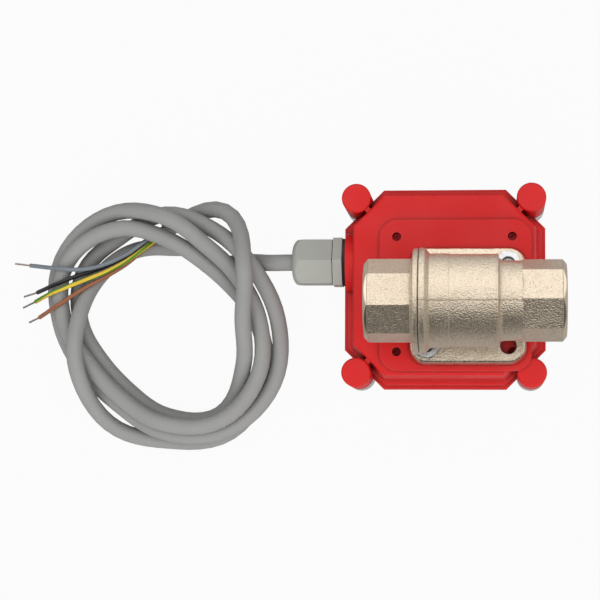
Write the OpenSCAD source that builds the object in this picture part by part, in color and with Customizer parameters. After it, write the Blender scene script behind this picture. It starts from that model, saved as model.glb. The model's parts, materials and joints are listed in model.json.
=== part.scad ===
// Motorized ball valve: a brass two-way ball valve that a geared electric actuator turns.
// Z is up. The actuator lies on the face of its clear cover, and the valve is on top, its pipe along X.

/* [Housing] */
// Side of the square rim where the cover meets the base
rim_side = 87; // [86:0.5:92]
// Height of the clear cover, from the floor up to the rim
cover_h = 16; // [15:0.5:20]
// Height of the base, from the rim up to its face
base_h = 26; // [26:0.5:30]
// Side of the raised plate that carries the valve
plate_side = 64; // [62:0.5:66]
// Height of the raised plate above the face
plate_h = 3; // [2.5:0.25:4]
// Thickness of the side walls
wall = 3; // [2.5:0.1:3.2]
// Thickness of the face of the base and of the cover
floor_t = 3; // [2.5:0.25:3.5]
// Diameter of the corner posts
post_d = 12.5; // [11:0.25:12.5]
// Distance of the corner posts' axes in from the sides of the rim
post_in = 6.3; // [6.2:0.1:6.6]
// Height of the cable gland's axis above the rim
gland_rise = 12; // [11.5:0.25:13]
// Place of the cable gland along Y, from the middle
gland_y = 11; // [10:0.25:12]

/* [Valve] */
// Place of the stem along X, from the middle of the housing
stem_dx = 10.2; // [9.5:0.1:10.5]
// Place of the stem along Y
stem_y = -9.5; // [-10:0.1:-9]
// Height of the pipe axis above the raised plate
valve_rise = 30; // [30:0.25:33]
// Diameter of the ball
ball_d = 30; // [29:0.25:30.5]
// Bore of the ball
bore_d = 20; // [16:0.5:20]
// Width across the corners of the eight-sided pipe ends
oct_d = 34.3; // [33.5:0.1:36]
// Largest radius of the pipe thread
thread_r = 13.2; // [12.8:0.01:13.3]
// Length of the pipe thread
thread_l = 15; // [12:0.5:16]
// Distance from the stem to the face of the end cap
cap_reach = 41.7; // [40:0.1:46]
// Distance from the stem to the face of the cast pipe end
port_reach = 40.3; // [40:0.1:46]
// Side of the mounting flange
flange_side = 47.6; // [46:0.2:49]
// Thickness of the mounting flange
flange_t = 6; // [5:0.5:7]
// Circle of the flange's four bolt holes
flange_pcd = 48; // [47:0.25:51]
// Diameter of the stem
stem_d = 12; // [11:0.25:12.5]
// Square of the stem, across its flats
square_af = 9; // [8:0.1:9.5]

/* [Drive] */
// Tooth size of the gears, their pitch diameter over their count of teeth
gear_m = 0.8; // [0.78:0.01:0.8]
// Teeth on the output gear
output_teeth = 50; // [48:1:50]
// Teeth on the idler's large wheel
wheel_teeth = 40; // [38:1:40]
// Teeth on the idler's pinion and on the motor's pinion
pinion_teeth = 12; // [12:1:13]
// Diameter of the motor
motor_d = 37; // [35:0.5:37]
// Height of the motor
motor_h = 15.8; // [12:0.2:16]
// Thickness of the gear plate
deck_t = 2; // [1.5:0.25:2.5]
// Space for the gears between the gear plate and the face of the base
gear_space = 15; // [14.8:0.1:15.2]
// Lift of each cam over a quarter turn
cam_lift = 0.9; // [0.6:0.05:1]
// Largest radius of the cams
cam_r = 9.4; // [9:0.1:9.6]
// Thickness of one limit switch
switch_t = 6.1; // [5.8:0.1:6.1]

/* [Cable] */
// Diameter of the cable's sheath
cable_d = 7.2; // [7:0.05:7.2]
// Diameter of an insulated wire
wire_d = 1.9; // [1.6:0.05:1.9]
// Diameter of a bare wire tip
tip_d = 0.9; // [0.6:0.05:1.2]

/* [Hidden] */
$fn = 48;

// Heights
rim_z = cover_h;
face_z = rim_z + base_h;
plate_z = face_z + plate_h;
inner_z = face_z - floor_t;
flange_z = plate_z + flange_t;
valve_z = plate_z + valve_rise;
gland_z = rim_z + gland_rise;
deck_z = inner_z - gear_space;
deck_low_z = deck_z - deck_t;

// Outlines of the housing: half side and the sum of X and Y along the cut corner
rim_half = rim_side / 2;
post_at = rim_half - post_in;
rim_cut = 17;
rim_h = 3;
ledge_in = 1.7;
ledge_h = 8;
wall_in = 3.8;
wall_draft = 1.3;
edge = 0.6;
face_half = rim_half - wall_in - wall_draft;
cavity_half = face_half - wall + 1.1;
cavity_cut = 11.5;
cover_half = rim_half - 2;
cover_cavity_half = cover_half - wall;
cover_cavity_cut = 13;
wall_cut = 13.3;
plate_x = 5;
plate_y = -4.6;
plate_r = 7.5;

// Gland
boss_r = 12.5;
boss_x = rim_half - 1.3;
gland_gasket_t = 1.5;
gland_gasket_r = 10.3;
gland_hex_t = 4;
gland_hex_af = 20.4;
gland_nut_l = 17.5;
gland_nut_af = 19;
gland_dome = 5.5;
gland_gap = 0.3;
gland_thread_r = 7.6;
locknut_t = 3;
gland_face = boss_x + gland_gasket_t;
nut_face = gland_face + gland_hex_t + gland_gap;
gland_tip = nut_face + gland_nut_l;
cable_r = cable_d / 2;
core_reach = cavity_half - 1.3;

// The housing's middle stands off the origin, so that the whole object is centred on the origin
house_x = (gland_tip - stem_dx - port_reach) / 2;
stem_x = house_x + stem_dx;
gland_tip_x = house_x - gland_tip;

// Fits
run_gap = 0.05;
clear_gap = 0.3;

// Valve
ball_r = ball_d / 2;
bore_r = bore_d / 2;
chamber_r = ball_r + 0.6;
barrel_r = chamber_r + 3.4;
collar_r = barrel_r + 2.6;
collar_l = -19.3;
collar_t = 3.9;
seat_in = 8.8;
seat_out = 13;
seat_r = chamber_r - 1.1;
neck_r = 16.25;
port_start = 22.4;
cap_start = 22.6;
stem_r = stem_d / 2;
shoulder_r = stem_r + 1.5;
shoulder_t = 2.4;
tang_w = 6;
slot_h = 4.5;
tang_gap = 0.1;
boss_top = valve_z - chamber_r;
pocket_z = boss_top - 3;
socket_depth = 8;
flange_hole_r = 3.5;
hole_at = flange_pcd / 2 / sqrt(2);
bolt_r = 3;
bolt_head_r = 5;
bolt_head_t = 3.4;
washer_t = 1;
washer_r = 4.95;
nut_af = 10;
nut_t = 4.4;
bolt_stand = 1;
fixing_sides = [1, -1];

// Gear train: the idler and the motor pinion are placed by the centre distances
addendum = 0.8 * gear_m;
dedendum = 1.15 * gear_m;
backlash = 0.16;
idler_turn = 170;
motor_turn = 75;
mesh_slack = 0.05;
output_pitch = output_teeth * gear_m / 2;
wheel_pitch = wheel_teeth * gear_m / 2;
pinion_pitch = pinion_teeth * gear_m / 2;
idler_reach = output_pitch + pinion_pitch + mesh_slack;
motor_reach = wheel_pitch + pinion_pitch + mesh_slack;
idler_x = stem_x + idler_reach * cos(idler_turn);
idler_y = stem_y + idler_reach * sin(idler_turn);
pinion_x = idler_x + motor_reach * cos(motor_turn);
pinion_y = idler_y + motor_reach * sin(motor_turn);
motor_off = 5.5;
motor_x = pinion_x - motor_off;
motor_y = pinion_y;
motor_r = motor_d / 2;
motor_shaft_r = 2.5;
motor_boss_r = 5;
motor_screw_at = motor_r - 3.5;
motor_screw_turns = [30, 150];
idler_axle_r = 2;
wheel_z = deck_z + 1.2;
wheel_t = 3;
output_gear_z = wheel_z + wheel_t + 1.3;
output_gear_t = 4.9;
shaft_r = 6;
shaft_low_r = 4;
hub_r = 7;
bush_r = 10;
bush_in = 8;
bush_drop = 2;
axle_boss_z = output_gear_z + output_gear_t + 0.6;

// Gear plate, its pillars and their screws
pillar_at = plate_side / 2 - 7.6;
pillar_x = house_x + 4.6;
pillar_y = -4.2;
pillar_r = 2.5;
spigot_r = 1.5;
gearbox_head_r = 1.75;
gearbox_shank_r = 1.05;
gearbox_recess = 4;
gearbox_head_t = 1.6;
deck_low = [5.2 - cavity_half, 3.5 - cavity_half];
deck_high = [cavity_half - 3, cavity_half - 6.5];
deck_corner = 5.5;

// Limit switches
switch_l = 19.8;
switch_w = 10.2;
switch_x = stem_x + cam_r + clear_gap + 1.6;
switch_hole_x = switch_x + 7.2;
switch_hole_y = 4.75;
switch_screw_r = 1;
switch_open_z = deck_low_z - switch_t - 0.05;
switch_close_z = switch_open_z - switch_t - 0.1;
plunger_r = 1.2;
plunger_l = 4.5;
plunger_room = 2.2;
cam_t = 3;
cam_open_z = switch_open_z + switch_t / 2;
cam_close_z = switch_close_z + switch_t / 2;
indicator_z = floor_t + 1.4;
indicator_t = 1.6;
indicator_r = 9;
cover_screw_r = 1.95;
cover_head_r = 3.5;
cover_head_t = 2.6;
cover_recess = 4.2;
cover_screw_l = 26;
screw_hole_l = cover_recess + cover_screw_l - rim_z + 1;
gasket_w = 1.9;
gasket_in = 1.7;
gasket_h = 2;

// Circuit board
board_x = house_x + 7.2 - cavity_half;
board_y = 5 - cavity_half;
board_l = 28;
board_w = 25;
board_t = 1.6;
board_z = deck_low_z - 8;
board_posts = [[4, 4], [24, 4], [4, 21]];
block_l = 20;
block_w = 8;
block_h = 8.5;
block_x = board_x + 8;
block_y = board_y + 1;
block_z = board_z - block_h;
block_pitch = 5;
block_hole_z = board_z - 3.2;
block_hole_l = 4;

// Cable, in the whole object's frame: the lead runs from the gland down to the coil on the floor
lead_route = [
    [-66, 11, 27.3], [-70.5, 11.3, 25.1], [-75.5, 11.9, 22], [-81, 12.1, 18.6],
    [-87, 12, 15], [-92.4, 12.5, 11.9], [-97.8, 14.4, 9.2], [-102.4, 17.2, 7.1]
];
// The coil: one station every 30 degrees about its middle, from coil_start on, with radius and height
coil_middle = [-116, -13];
coil_start = 90;
coil_end = 1524;
coil_step = 30;
coil_ring = 15;
coil_radius = [
    33.2, 36.1, 37.2, 38.5, 44.5, 52.5, 53, 56.5, 50, 40, 32.5, 31, 36,
    46.5, 52, 46, 39.5, 39.5, 45.5, 51, 48.5, 42.5, 38, 37.5, 45,
    54.5, 56.5, 49.5, 44, 43, 49.5, 55.5, 55.5, 50.5, 46, 45, 46.8,
    44, 45, 40, 35, 35.5, 42, 47.5, 40.5, 36.5, 44, 54.5, 41.4, 31
];
coil_height = [
    4.4, 3.6, 8, 17, 18.5, 4.5, 3.6, 3.6, 3.6, 9.5, 19.5, 22.5, 21,
    16, 11.5, 11.3, 11.5, 14.5, 18, 18, 17.5, 22, 27, 28, 26,
    11, 4, 3.6, 4, 7, 11.3, 11.5, 11.8, 19, 31.5, 22.5, 16.9,
    6, 3.6, 3.6, 3.6, 3.6, 4, 5.5, 15.5, 31, 42, 22.6, 11, 76
];
coil_sides = 6;
lead_sides = 8;
// The four stripped wires, from the end of the sheath to the start of each bare tip, then the tip's end
grey_route = [
    [-123, 24.6, 11.7], [-129, 19.8, 13.9], [-133.5, 16.4, 14.5], [-142.5, 12.2, 14.8], [-150.5, 10, 15],
    [-156.5, 9.5, 15.9], [-162, 9.8, 16.5], [-166, 10.3, 15], [-170, 10.9, 11.8], [-174.5, 11.7, 8],
    [-179.2, 12.5, 4.5]
];
grey_tip = [-187, 13.7, 1];
black_route = [
    [-123.9, 24.3, 9.6], [-129.2, 19.6, 11.4], [-133.5, 16.2, 11.9], [-142.5, 11.6, 12.4], [-150.5, 8.7, 13],
    [-158, 5.8, 15.9], [-163, 3.7, 16.4], [-166.8, 2.4, 15.4], [-170.7, 1.2, 12], [-175.2, 0.1, 7]
];
black_tip = [-182.5, -1.4, 2];
green_yellow_route = [
    [-121.8, 22.6, 11.7], [-127.8, 17.6, 13.8], [-134.2, 12.9, 15.3], [-142.2, 8.7, 15.7], [-150, 5.6, 16],
    [-158, 2.5, 16.5], [-162.2, 0.8, 16.4], [-166.4, -0.6, 15.4], [-171, -2.1, 11.2], [-176.4, -3.9, 5.4]
];
green_yellow_tip = [-183, -6.3, 1];
brown_route = [
    [-122.4, 22, 9.7], [-127.8, 17.6, 11.4], [-134.2, 12, 12.9], [-142.5, 6.7, 14], [-150.3, 2.4, 15.1],
    [-156.1, -1.2, 16], [-161.9, -5.2, 16.3], [-166, -7.4, 15.3], [-169.8, -9.2, 11.3], [-174.4, -11, 5.6]
];
brown_tip = [-180, -13, 1.4];
wire_sides = 8;
// The four cores inside the housing, from the end of the sheath to the terminals, X from the inside of the wall
leads_trunk = [
    [3.7, 11, 28], [5.9, 9.6, 28.9], [6.3, 6, 30.3], [6.1, 2, 31.2], [4.9, -2, 31], [3, -5, 28.5],
    [2.5, -6.5, 24.5], [2.5, -7.1, 20], [2.5, -7.7, 16], [2.5, -9, 12.6]
];

// Draws its children with the housing's middle at the origin
module at_house() {
    translate([house_x, 0, 0]) children();
}

module at_stem() {
    translate([stem_x, stem_y, 0]) children();
}

// Draws its children along the gland's axis, with local Z pointing out of the housing
module at_gland(reach) {
    translate([house_x - reach, gland_y, gland_z]) rotate([0, -90, 0]) children();
}

// Draws its children along the pipe's axis, with local Z along X, measured from the stem
module at_pipe() {
    translate([stem_x, stem_y, valve_z]) rotate([0, 90, 0]) children();
}

module ring(r_out, r_in, h) {
    difference() {
        cylinder(r = r_out, h = h);
        translate([0, 0, -1]) cylinder(r = r_in, h = h + 2);
    }
}

function hex_r(af) = af / sqrt(3);

// A square with its corners cut at 45 degrees, each cut leaving out a corner of the given leg
module cut_square(half, cut) {
    polygon([
        [half, half - cut], [half - cut, half], [cut - half, half], [-half, half - cut],
        [-half, cut - half], [cut - half, -half], [half - cut, -half], [half, cut - half]
    ]);
}

module cut_prism(half, cut, z, h) {
    translate([0, 0, z]) linear_extrude(h) cut_square(half, cut);
}

module round_square(side, r) {
    square([side, side - 2 * r], center = true);
    square([side - 2 * r, side], center = true);
    for (x = [-1, 1], y = [-1, 1]) translate([x, y] * (side / 2 - r)) circle(r);
}

module at_corners(at) {
    for (x = [-1, 1], y = [-1, 1]) translate([x * at, y * at, 0]) children();
}

// A corner post with a softened edge on its top
module post(z, h) {
    translate([0, 0, z]) rotate_extrude() polygon([
        [0, 0], [post_d / 2, 0], [post_d / 2, h - edge], [post_d / 2 - edge, h], [0, h]
    ]);
}

// The web that joins a post to the wall, along the diagonal
module post_webs(z, h) {
    web_w = 2.2;
    web_l = post_d / 2 + 0.8;
    for (a = [45, 135, 225, 315])
        rotate(a) translate([post_at * sqrt(2) - post_d, -web_w / 2, z]) cube([web_l, web_w, h]);
}

module base_shell() {
    slab = 0.1;
    low_half = rim_half - wall_in;
    cut_prism(rim_half, rim_cut, rim_z, rim_h);
    cut_prism(rim_half - ledge_in, rim_cut - 1, rim_z, ledge_h);
    hull() {
        cut_prism(low_half, wall_cut + 0.6, rim_z, ledge_h);
        cut_prism(face_half + 0.05, wall_cut, face_z - edge - slab, slab);
        cut_prism(face_half - edge, wall_cut, face_z - slab, slab);
    }
    at_corners(post_at) post(rim_z, base_h);
    post_webs(rim_z + 0.5, base_h - 1.5);
    translate([plate_x, plate_y, face_z - 1]) linear_extrude(plate_h + 1) round_square(plate_side, plate_r);
}

module gland_boss() {
    intersection() {
        translate([-boss_x, gland_y, gland_z]) rotate([0, 90, 0]) cylinder(r = boss_r, h = boss_x - cavity_half);
        translate([-rim_side, -rim_side, rim_z]) cube([rim_side, rim_side * 2, base_h]);
    }
}

module base_housing() {
    color([0.77, 0.19, 0.18]) at_house() difference() {
        union() {
            difference() {
                union() {
                    base_shell();
                    gland_boss();
                }
                cut_prism(cavity_half, cavity_cut, rim_z - 1, base_h - floor_t + 1);
            }
            translate([stem_dx, stem_y, inner_z - bush_drop]) cylinder(r = bush_r + 2.5, h = bush_drop + 1);
            translate([idler_x - house_x, idler_y, axle_boss_z]) cylinder(r = 4, h = inner_z - axle_boss_z + 1);
        }
        translate([stem_dx, stem_y, inner_z - bush_drop - 1]) cylinder(r = bush_r, h = plate_z);
        translate([idler_x - house_x, idler_y, axle_boss_z - 1])
            cylinder(r = idler_axle_r, h = inner_z + 2 - axle_boss_z + 1);
        for (s = fixing_sides)
            translate([stem_dx + s * hole_at, stem_y + s * hole_at, inner_z - 1]) cylinder(r = bolt_r + clear_gap, h = 20);
        translate([pillar_x - house_x, pillar_y, 0]) at_corners(pillar_at) {
            translate([0, 0, inner_z - 1]) cylinder(r = gearbox_shank_r + 0.15, h = plate_z);
            translate([0, 0, plate_z - gearbox_recess]) cylinder(r = gearbox_head_r + 0.15, h = plate_z);
        }
        translate([-rim_half - 1, gland_y, gland_z]) rotate([0, 90, 0])
            cylinder(r = gland_thread_r + 0.15, h = rim_half - cavity_half + 2);
        translate([-rim_half - 1, gland_y, gland_z]) rotate([0, 90, 0])
            cylinder(r = boss_r - 1.3, h = rim_half - boss_x + 1);
        at_corners(post_at) translate([0, 0, rim_z - 1]) cylinder(r = cover_screw_r, h = screw_hole_l + 1);
    }
}

module cover() {
    slab = 0.1;
    color([0.85, 0.88, 0.9, 0.35]) at_house() difference() {
        union() {
            cut_prism(rim_half, rim_cut, rim_z - rim_h, rim_h);
            hull() {
                cut_prism(cover_half, rim_cut - 1, rim_z - rim_h, rim_h - 0.5);
                cut_prism(cover_half - 0.8, rim_cut - 1, 1, slab);
                cut_prism(cover_half - 1.8, rim_cut - 1, 0, slab);
            }
            at_corners(post_at) mirror([0, 0, 1]) post(-rim_z, rim_z);
            post_webs(1, rim_z - 1.5);
        }
        cut_prism(cover_cavity_half, cover_cavity_cut, floor_t, rim_z);
        difference() {
            cut_prism(rim_half - gasket_in, rim_cut - 1, rim_z - gasket_h, gasket_h + 1);
            cut_prism(rim_half - gasket_in - gasket_w, rim_cut - 1, rim_z - gasket_h - 1, gasket_h + 3);
        }
        at_corners(post_at) {
            translate([0, 0, -1]) cylinder(r = cover_screw_r + clear_gap, h = rim_z + 2);
            translate([0, 0, -1]) cylinder(r = cover_head_r + clear_gap, h = cover_recess + 1);
        }
    }
}

module cover_gasket() {
    color([0.12, 0.12, 0.12]) at_house() difference() {
        cut_prism(rim_half - gasket_in, rim_cut - 1, rim_z - gasket_h, gasket_h);
        cut_prism(rim_half - gasket_in - gasket_w, rim_cut - 1, rim_z - gasket_h - 1, gasket_h + 3);
    }
}

// A pan or cheese head screw that points up, with a cross recess in its head
module screw_up(head_r, head_t, shank_r, shank_l) {
    recess = head_r * 0.28;
    difference() {
        union() {
            translate([0, 0, -head_t]) cylinder(r = head_r, h = head_t);
            cylinder(r = shank_r, h = shank_l - shank_r);
            translate([0, 0, shank_l - shank_r]) cylinder(r1 = shank_r, r2 = shank_r * 0.4, h = shank_r);
        }
        for (a = [0, 90]) rotate(a)
            translate([-head_r * 0.6, -recess / 2, -head_t - 1]) cube([head_r * 1.2, recess, head_t * 0.5 + 1]);
    }
}

module cover_screws() {
    color([0.75, 0.75, 0.76]) at_house() at_corners(post_at)
        translate([0, 0, cover_recess]) screw_up(cover_head_r, cover_head_t, cover_screw_r, cover_screw_l);
}

module gland_body() {
    neck_l = gland_nut_l - gland_dome - 1.5;
    color([0.6, 0.61, 0.6]) at_gland(gland_face) difference() {
        union() {
            rotate(0) cylinder(r = hex_r(gland_hex_af), h = gland_hex_t, $fn = 6);
            translate([0, 0, -(gland_face - cavity_half + locknut_t + 0.5)])
                cylinder(r = gland_thread_r, h = gland_face - cavity_half + locknut_t + 1);
            cylinder(r = gland_thread_r + 0.3, h = gland_hex_t + neck_l);
        }
        translate([0, 0, -20]) cylinder(r = cable_r + 0.9, h = 60);
        translate([0, 0, gland_hex_t + 2]) cylinder(r = gland_thread_r - 1.3, h = neck_l);
    }
}

module gland_nut() {
    corner_r = hex_r(gland_nut_af);
    body_l = gland_nut_l - gland_dome;
    mouth = cable_r + 0.5;
    rise = corner_r - mouth - 1.4;
    color([0.66, 0.67, 0.66]) at_gland(nut_face) difference() {
        intersection() {
            cylinder(r = corner_r, h = gland_nut_l, $fn = 6);
            rotate_extrude() polygon(concat(
                [[0, 0], [corner_r - 0.5, 0], [corner_r + 1, 1.5], [corner_r + 1, body_l - 1]],
                [for (a = [0:10:90]) [corner_r - rise * (1 - cos(a)), body_l + gland_dome * sin(a)]],
                [[0, gland_nut_l]]
            ));
        }
        translate([0, 0, -1]) cylinder(r = gland_thread_r + 0.35, h = body_l);
        translate([0, 0, -1]) cylinder(r = mouth, h = gland_nut_l + 2);
    }
}

module gland_gasket() {
    color([0.05, 0.05, 0.05]) at_gland(boss_x) ring(gland_gasket_r, gland_thread_r + 0.1, gland_gasket_t);
}

module gland_seal() {
    seal_l = gland_nut_l - gland_dome - 3.7;
    color([0.1, 0.1, 0.1]) at_gland(gland_face + gland_hex_t + 2)
        ring(gland_thread_r - 1.35, cable_r, seal_l);
}

module gland_locknut() {
    color([0.6, 0.61, 0.6]) at_gland(cavity_half - locknut_t) difference() {
        cylinder(r = hex_r(gland_nut_af), h = locknut_t, $fn = 6);
        translate([0, 0, -1]) cylinder(r = gland_thread_r, h = locknut_t + 2);
    }
}

module cable_entry() {
    color([0.59, 0.59, 0.58]) at_gland(core_reach) cylinder(r = cable_r, h = gland_tip - core_reach);
}

// Sweeps a round tube with the given count of sides along a path of points
function unit(v) = v / norm(v);
function tangent(path, i) = unit(path[min(i + 1, len(path) - 1)] - path[max(i - 1, 0)]);
function ring_points(p, t, r, sides) =
    let (u = unit(cross(t, [0, 0, 1])), v = cross(u, t))
    [for (k = [0:sides - 1]) p + r * (cos(k * 360 / sides) * u + sin(k * 360 / sides) * v)];
module tube(path, d, sides, last_way = undef) {
    n = len(path);
    points = [
        for (i = [0:n - 1])
            each ring_points(path[i], i == n - 1 && last_way != undef ? last_way : tangent(path, i), d / 2, sides)
    ];
    skin = [
        for (i = [0:n - 2], k = [0:sides - 1])
            let (a = i * sides + k, b = i * sides + (k + 1) % sides)
            each [[a, b, b + sides], [a, b + sides, a + sides]]
    ];
    start = [for (k = [1:sides - 2]) [0, k + 1, k]];
    last = (n - 1) * sides;
    end = [for (k = [1:sides - 2]) [last, last + k, last + k + 1]];
    polyhedron(points = points, faces = concat(skin, start, end));
}

// A value between the stations of a list, on a smooth curve through them
function pick(list, i) = list[min(max(i, 0), len(list) - 1)];
function blend(a, b, c, d, t) =
    (2 * b + (c - a) * t + (2 * a - 5 * b + 4 * c - d) * t * t + (3 * b - a - 3 * c + d) * t * t * t) / 2;
function between(list, u) =
    let (i = min(floor(u), len(list) - 2))
    blend(pick(list, i - 1), list[i], list[i + 1], pick(list, i + 2), u - i);
function smooth(path, steps) = concat(
    [for (i = [0:len(path) - 2], k = [0:steps - 1]) between(path, i + k / steps)],
    [path[len(path) - 1]]
);

function coil_point(angle) =
    let (u = (angle - coil_start) / coil_step, r = between(coil_radius, u))
    [coil_middle[0] + r * cos(angle), coil_middle[1] + r * sin(angle), max(between(coil_height, u), cable_r)];
function coil_heading(angle) = unit(coil_point(angle + 1) - coil_point(angle - 1));
coil_turns = concat([for (a = [coil_start:coil_ring:coil_end]) coil_point(a)], [coil_point(coil_end)]);
coil_in_way = unit(coil_turns[1] - coil_turns[0]);
coil_in = coil_turns[0] - coil_in_way * cable_d;
coil_out_heading = coil_heading(coil_end);
coil_out = coil_point(coil_end) + coil_out_heading * cable_d;
coil_path = concat([coil_in], coil_turns, [coil_out]);
lead_start = [gland_tip_x, gland_y, gland_z];
lead_stations = concat([lead_start - [4, 0, 0]], lead_route, [coil_in, coil_turns[0]]);
lead_path = concat(
    [lead_start],
    [for (i = [0:len(lead_stations) - 3], k = [0:2]) between(lead_stations, i + k / 3)],
    [coil_in]
);

module cable_lead() {
    color([0.59, 0.59, 0.58]) tube(lead_path, cable_d, lead_sides, coil_in_way);
}

module cable_coil() {
    color([0.59, 0.59, 0.58]) tube(coil_path, cable_d, coil_sides);
}

// Least gap of the cable to itself, between points that lie more than three diameters apart along it
cable_path = concat(lead_path, [for (a = [coil_start:coil_ring / 3:coil_end]) coil_point(a)], [coil_out]);
function run_length(path, i = 1, sum = 0, out = [0]) =
    i >= len(path) ? out
    : let (s = sum + norm(path[i] - path[i - 1])) run_length(path, i + 1, s, concat(out, [s]));
cable_run = run_length(cable_path);
cable_gap = min([
    for (i = [0:len(cable_path) - 1], j = [i + 1:1:len(cable_path) - 1])
        if (cable_run[j] - cable_run[i] > 3 * cable_d) norm(cable_path[i] - cable_path[j]) - cable_d
]);
echo(least_gap_of_cable_to_itself_mm = cable_gap, cable_length_mm = cable_run[len(cable_run) - 1]);

// Places where the four wires leave the sheath, two above and two below, two on each side
wire_off = wire_d / 2 + 0.15;
side_way = unit(cross(coil_out_heading, [0, 0, 1]));
up_way = cross(side_way, coil_out_heading);
function wire_start(side, up) = coil_out + wire_off * (side * side_way + up * up_way);

module wire(start, route, tip) {
    path = concat([start], smooth(concat([start + coil_out_heading * 1.5], route), 2));
    tube(path, wire_d, wire_sides, unit(tip - route[len(route) - 1]));
}

module wire_grey() {
    color([0.47, 0.5, 0.53]) wire(wire_start(1, 1), grey_route, grey_tip);
}

module wire_black() {
    color([0.1, 0.09, 0.11]) wire(wire_start(1, -1), black_route, black_tip);
}

module wire_green_yellow() {
    color([0.85, 0.71, 0.16]) wire(wire_start(-1, 1), green_yellow_route, green_yellow_tip);
}

module wire_brown() {
    color([0.59, 0.35, 0.23]) wire(wire_start(-1, -1), brown_route, brown_tip);
}

module wire_tips() {
    color([0.75, 0.71, 0.68])
        for (w = [[grey_route, grey_tip], [black_route, black_tip],
                  [green_yellow_route, green_yellow_tip], [brown_route, brown_tip]])
            tube([w[0][len(w[0]) - 1], w[1]], tip_d, wire_sides);
}

// Inside the housing the four cores run side by side, two by two, and part at the terminals
function trunk_way(i) = tangent(leads_trunk, i);
function trunk_point(i, side, up) =
    let (across = unit(cross([0, 0, 1], trunk_way(i))), rise = cross(trunk_way(i), across))
    leads_trunk[i] - [cavity_half, 0, 0] + wire_off * (side * across + up * rise);
function core_route(k, side, up) =
    let (hole_y = block_y + (k + 0.5) * block_pitch, x = leads_trunk[9][0] - cavity_half, z = block_hole_z)
    concat(
        [[-core_reach, gland_y + side * wire_off, gland_z + up * wire_off]],
        smooth(concat(
            [[1 - core_reach, gland_y + side * wire_off, gland_z + up * wire_off]],
            [for (i = [0:len(leads_trunk) - 1]) trunk_point(i, side, up)],
            hole_y < board_y + 15.5 ? [[x + side * wire_off, -11.2, z + up * wire_off]] : [],
            [[x + side * wire_off + 0.3, hole_y + 2, z + up * wire_off]],
            [[x + side * wire_off + 2.4, hole_y + 0.3, z + up * wire_off * 0.5]],
            [[block_x - house_x - 4, hole_y, z], [block_x - house_x, hole_y, z]]
        ), 2),
        [[block_x - house_x + block_hole_l, hole_y, z]]
    );
cores = [[0, -1, -1], [1, -1, 1], [2, 1, -1], [3, 1, 1]];

module inner_leads() {
    color([0.4, 0.4, 0.42]) at_house()
        for (c = cores) tube(core_route(c[0], c[1], c[2]), wire_d, wire_sides);
}

// Valve
module pipe_bore() {
    translate([0, 0, -cap_reach - 1]) cylinder(r = thread_r, h = thread_l + 1);
    translate([0, 0, port_reach - thread_l]) cylinder(r = thread_r, h = thread_l + 1);
    translate([0, 0, -cap_reach]) cylinder(r = bore_r, h = cap_reach + port_reach);
}

// An eight-sided pipe end whose outer rim is turned off at an angle
module pipe_end(z, l, d, outward) {
    turn = 1.6;
    outer = d / 2;
    flat = outer * cos(22.5) - 0.6;
    slope = turn / (outer - flat);
    intersection() {
        translate([0, 0, z]) rotate(22.5) cylinder(r = outer, h = l, $fn = 8);
        translate([0, 0, z + (outward > 0 ? 0 : l)]) mirror([0, 0, outward > 0 ? 0 : 1])
            rotate_extrude() polygon([
                [0, 0], [outer + 1, 0], [outer + 1, l - turn - slope], [flat, l], [0, l]
            ]);
    }
}

module mouth_chamfer(z, outward) {
    translate([0, 0, z]) mirror([0, 0, outward > 0 ? 0 : 1])
        translate([0, 0, -1]) cylinder(r1 = thread_r, r2 = thread_r + 1.1, h = 1.1);
}

module valve_flange() {
    slab = 0.1;
    draft = 1.3;
    hull() {
        translate([0, 0, plate_z]) linear_extrude(slab) round_square(flange_side + 2 * draft, 7, $fn = 32);
        translate([0, 0, flange_z - 0.7]) linear_extrude(slab) round_square(flange_side + 0.3, 6.6, $fn = 32);
        translate([0, 0, flange_z - slab]) linear_extrude(slab) round_square(flange_side - 1, 6, $fn = 32);
    }
}

module valve_body() {
    fillet = 0.9;
    collar_end = collar_l + collar_t;
    step_r = barrel_r + 0.25;
    port_turn = -21;
    color([0.8, 0.74, 0.66]) difference() {
        union() {
            at_pipe() {
                rotate_extrude() polygon(concat(
                    [[0, collar_l], [collar_r - 0.4, collar_l], [collar_r, collar_l + 0.4],
                     [collar_r, collar_l + 2.1], [collar_r - 0.2, collar_l + 2.6]],
                    [for (a = [30:20:90])
                        [step_r + 1.4 * fillet * (1 - sin(a)), collar_end - 0.2 + fillet * (1 - cos(a))]],
                    [[step_r, -7.1], [barrel_r, -6.8], [barrel_r, 11.8], [barrel_r + 0.2, 12.1]],
                    [for (a = [0:30:90]) [barrel_r + 0.2 - 0.6 * (1 - cos(a)), 12.3 + 0.6 * sin(a)]],
                    [for (a = [0:18:90]) [neck_r + 0.15 + 1.9 * (1 - sin(a)), 12.9 + 2.6 * (1 - cos(a))]],
                    [[neck_r, port_start + 0.2], [0, port_start + 0.2]]
                ));
                rotate(port_turn) pipe_end(port_start, port_reach - port_start, oct_d - 0.8, 1);
            }
            at_stem() {
                valve_flange();
                translate([0, 0, plate_z + 1]) cylinder(r = shoulder_r + 5.5, h = valve_z - plate_z - 1);
            }
        }
        at_pipe() {
            pipe_bore();
            translate([0, 0, collar_l - 1]) cylinder(r = chamber_r, h = 1 - collar_l + seat_in);
            translate([0, 0, 0]) cylinder(r = seat_r, h = seat_out);
            mouth_chamfer(port_reach, 1);
        }
        at_stem() {
            translate([0, 0, plate_z - 1]) cylinder(r = stem_r + run_gap, h = valve_z - plate_z);
            translate([0, 0, pocket_z]) cylinder(r = shoulder_r + run_gap, h = valve_z - pocket_z);
            at_corners(hole_at) translate([0, 0, plate_z - 1]) cylinder(r = flange_hole_r, h = flange_t + 2);
        }
    }
}

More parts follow.
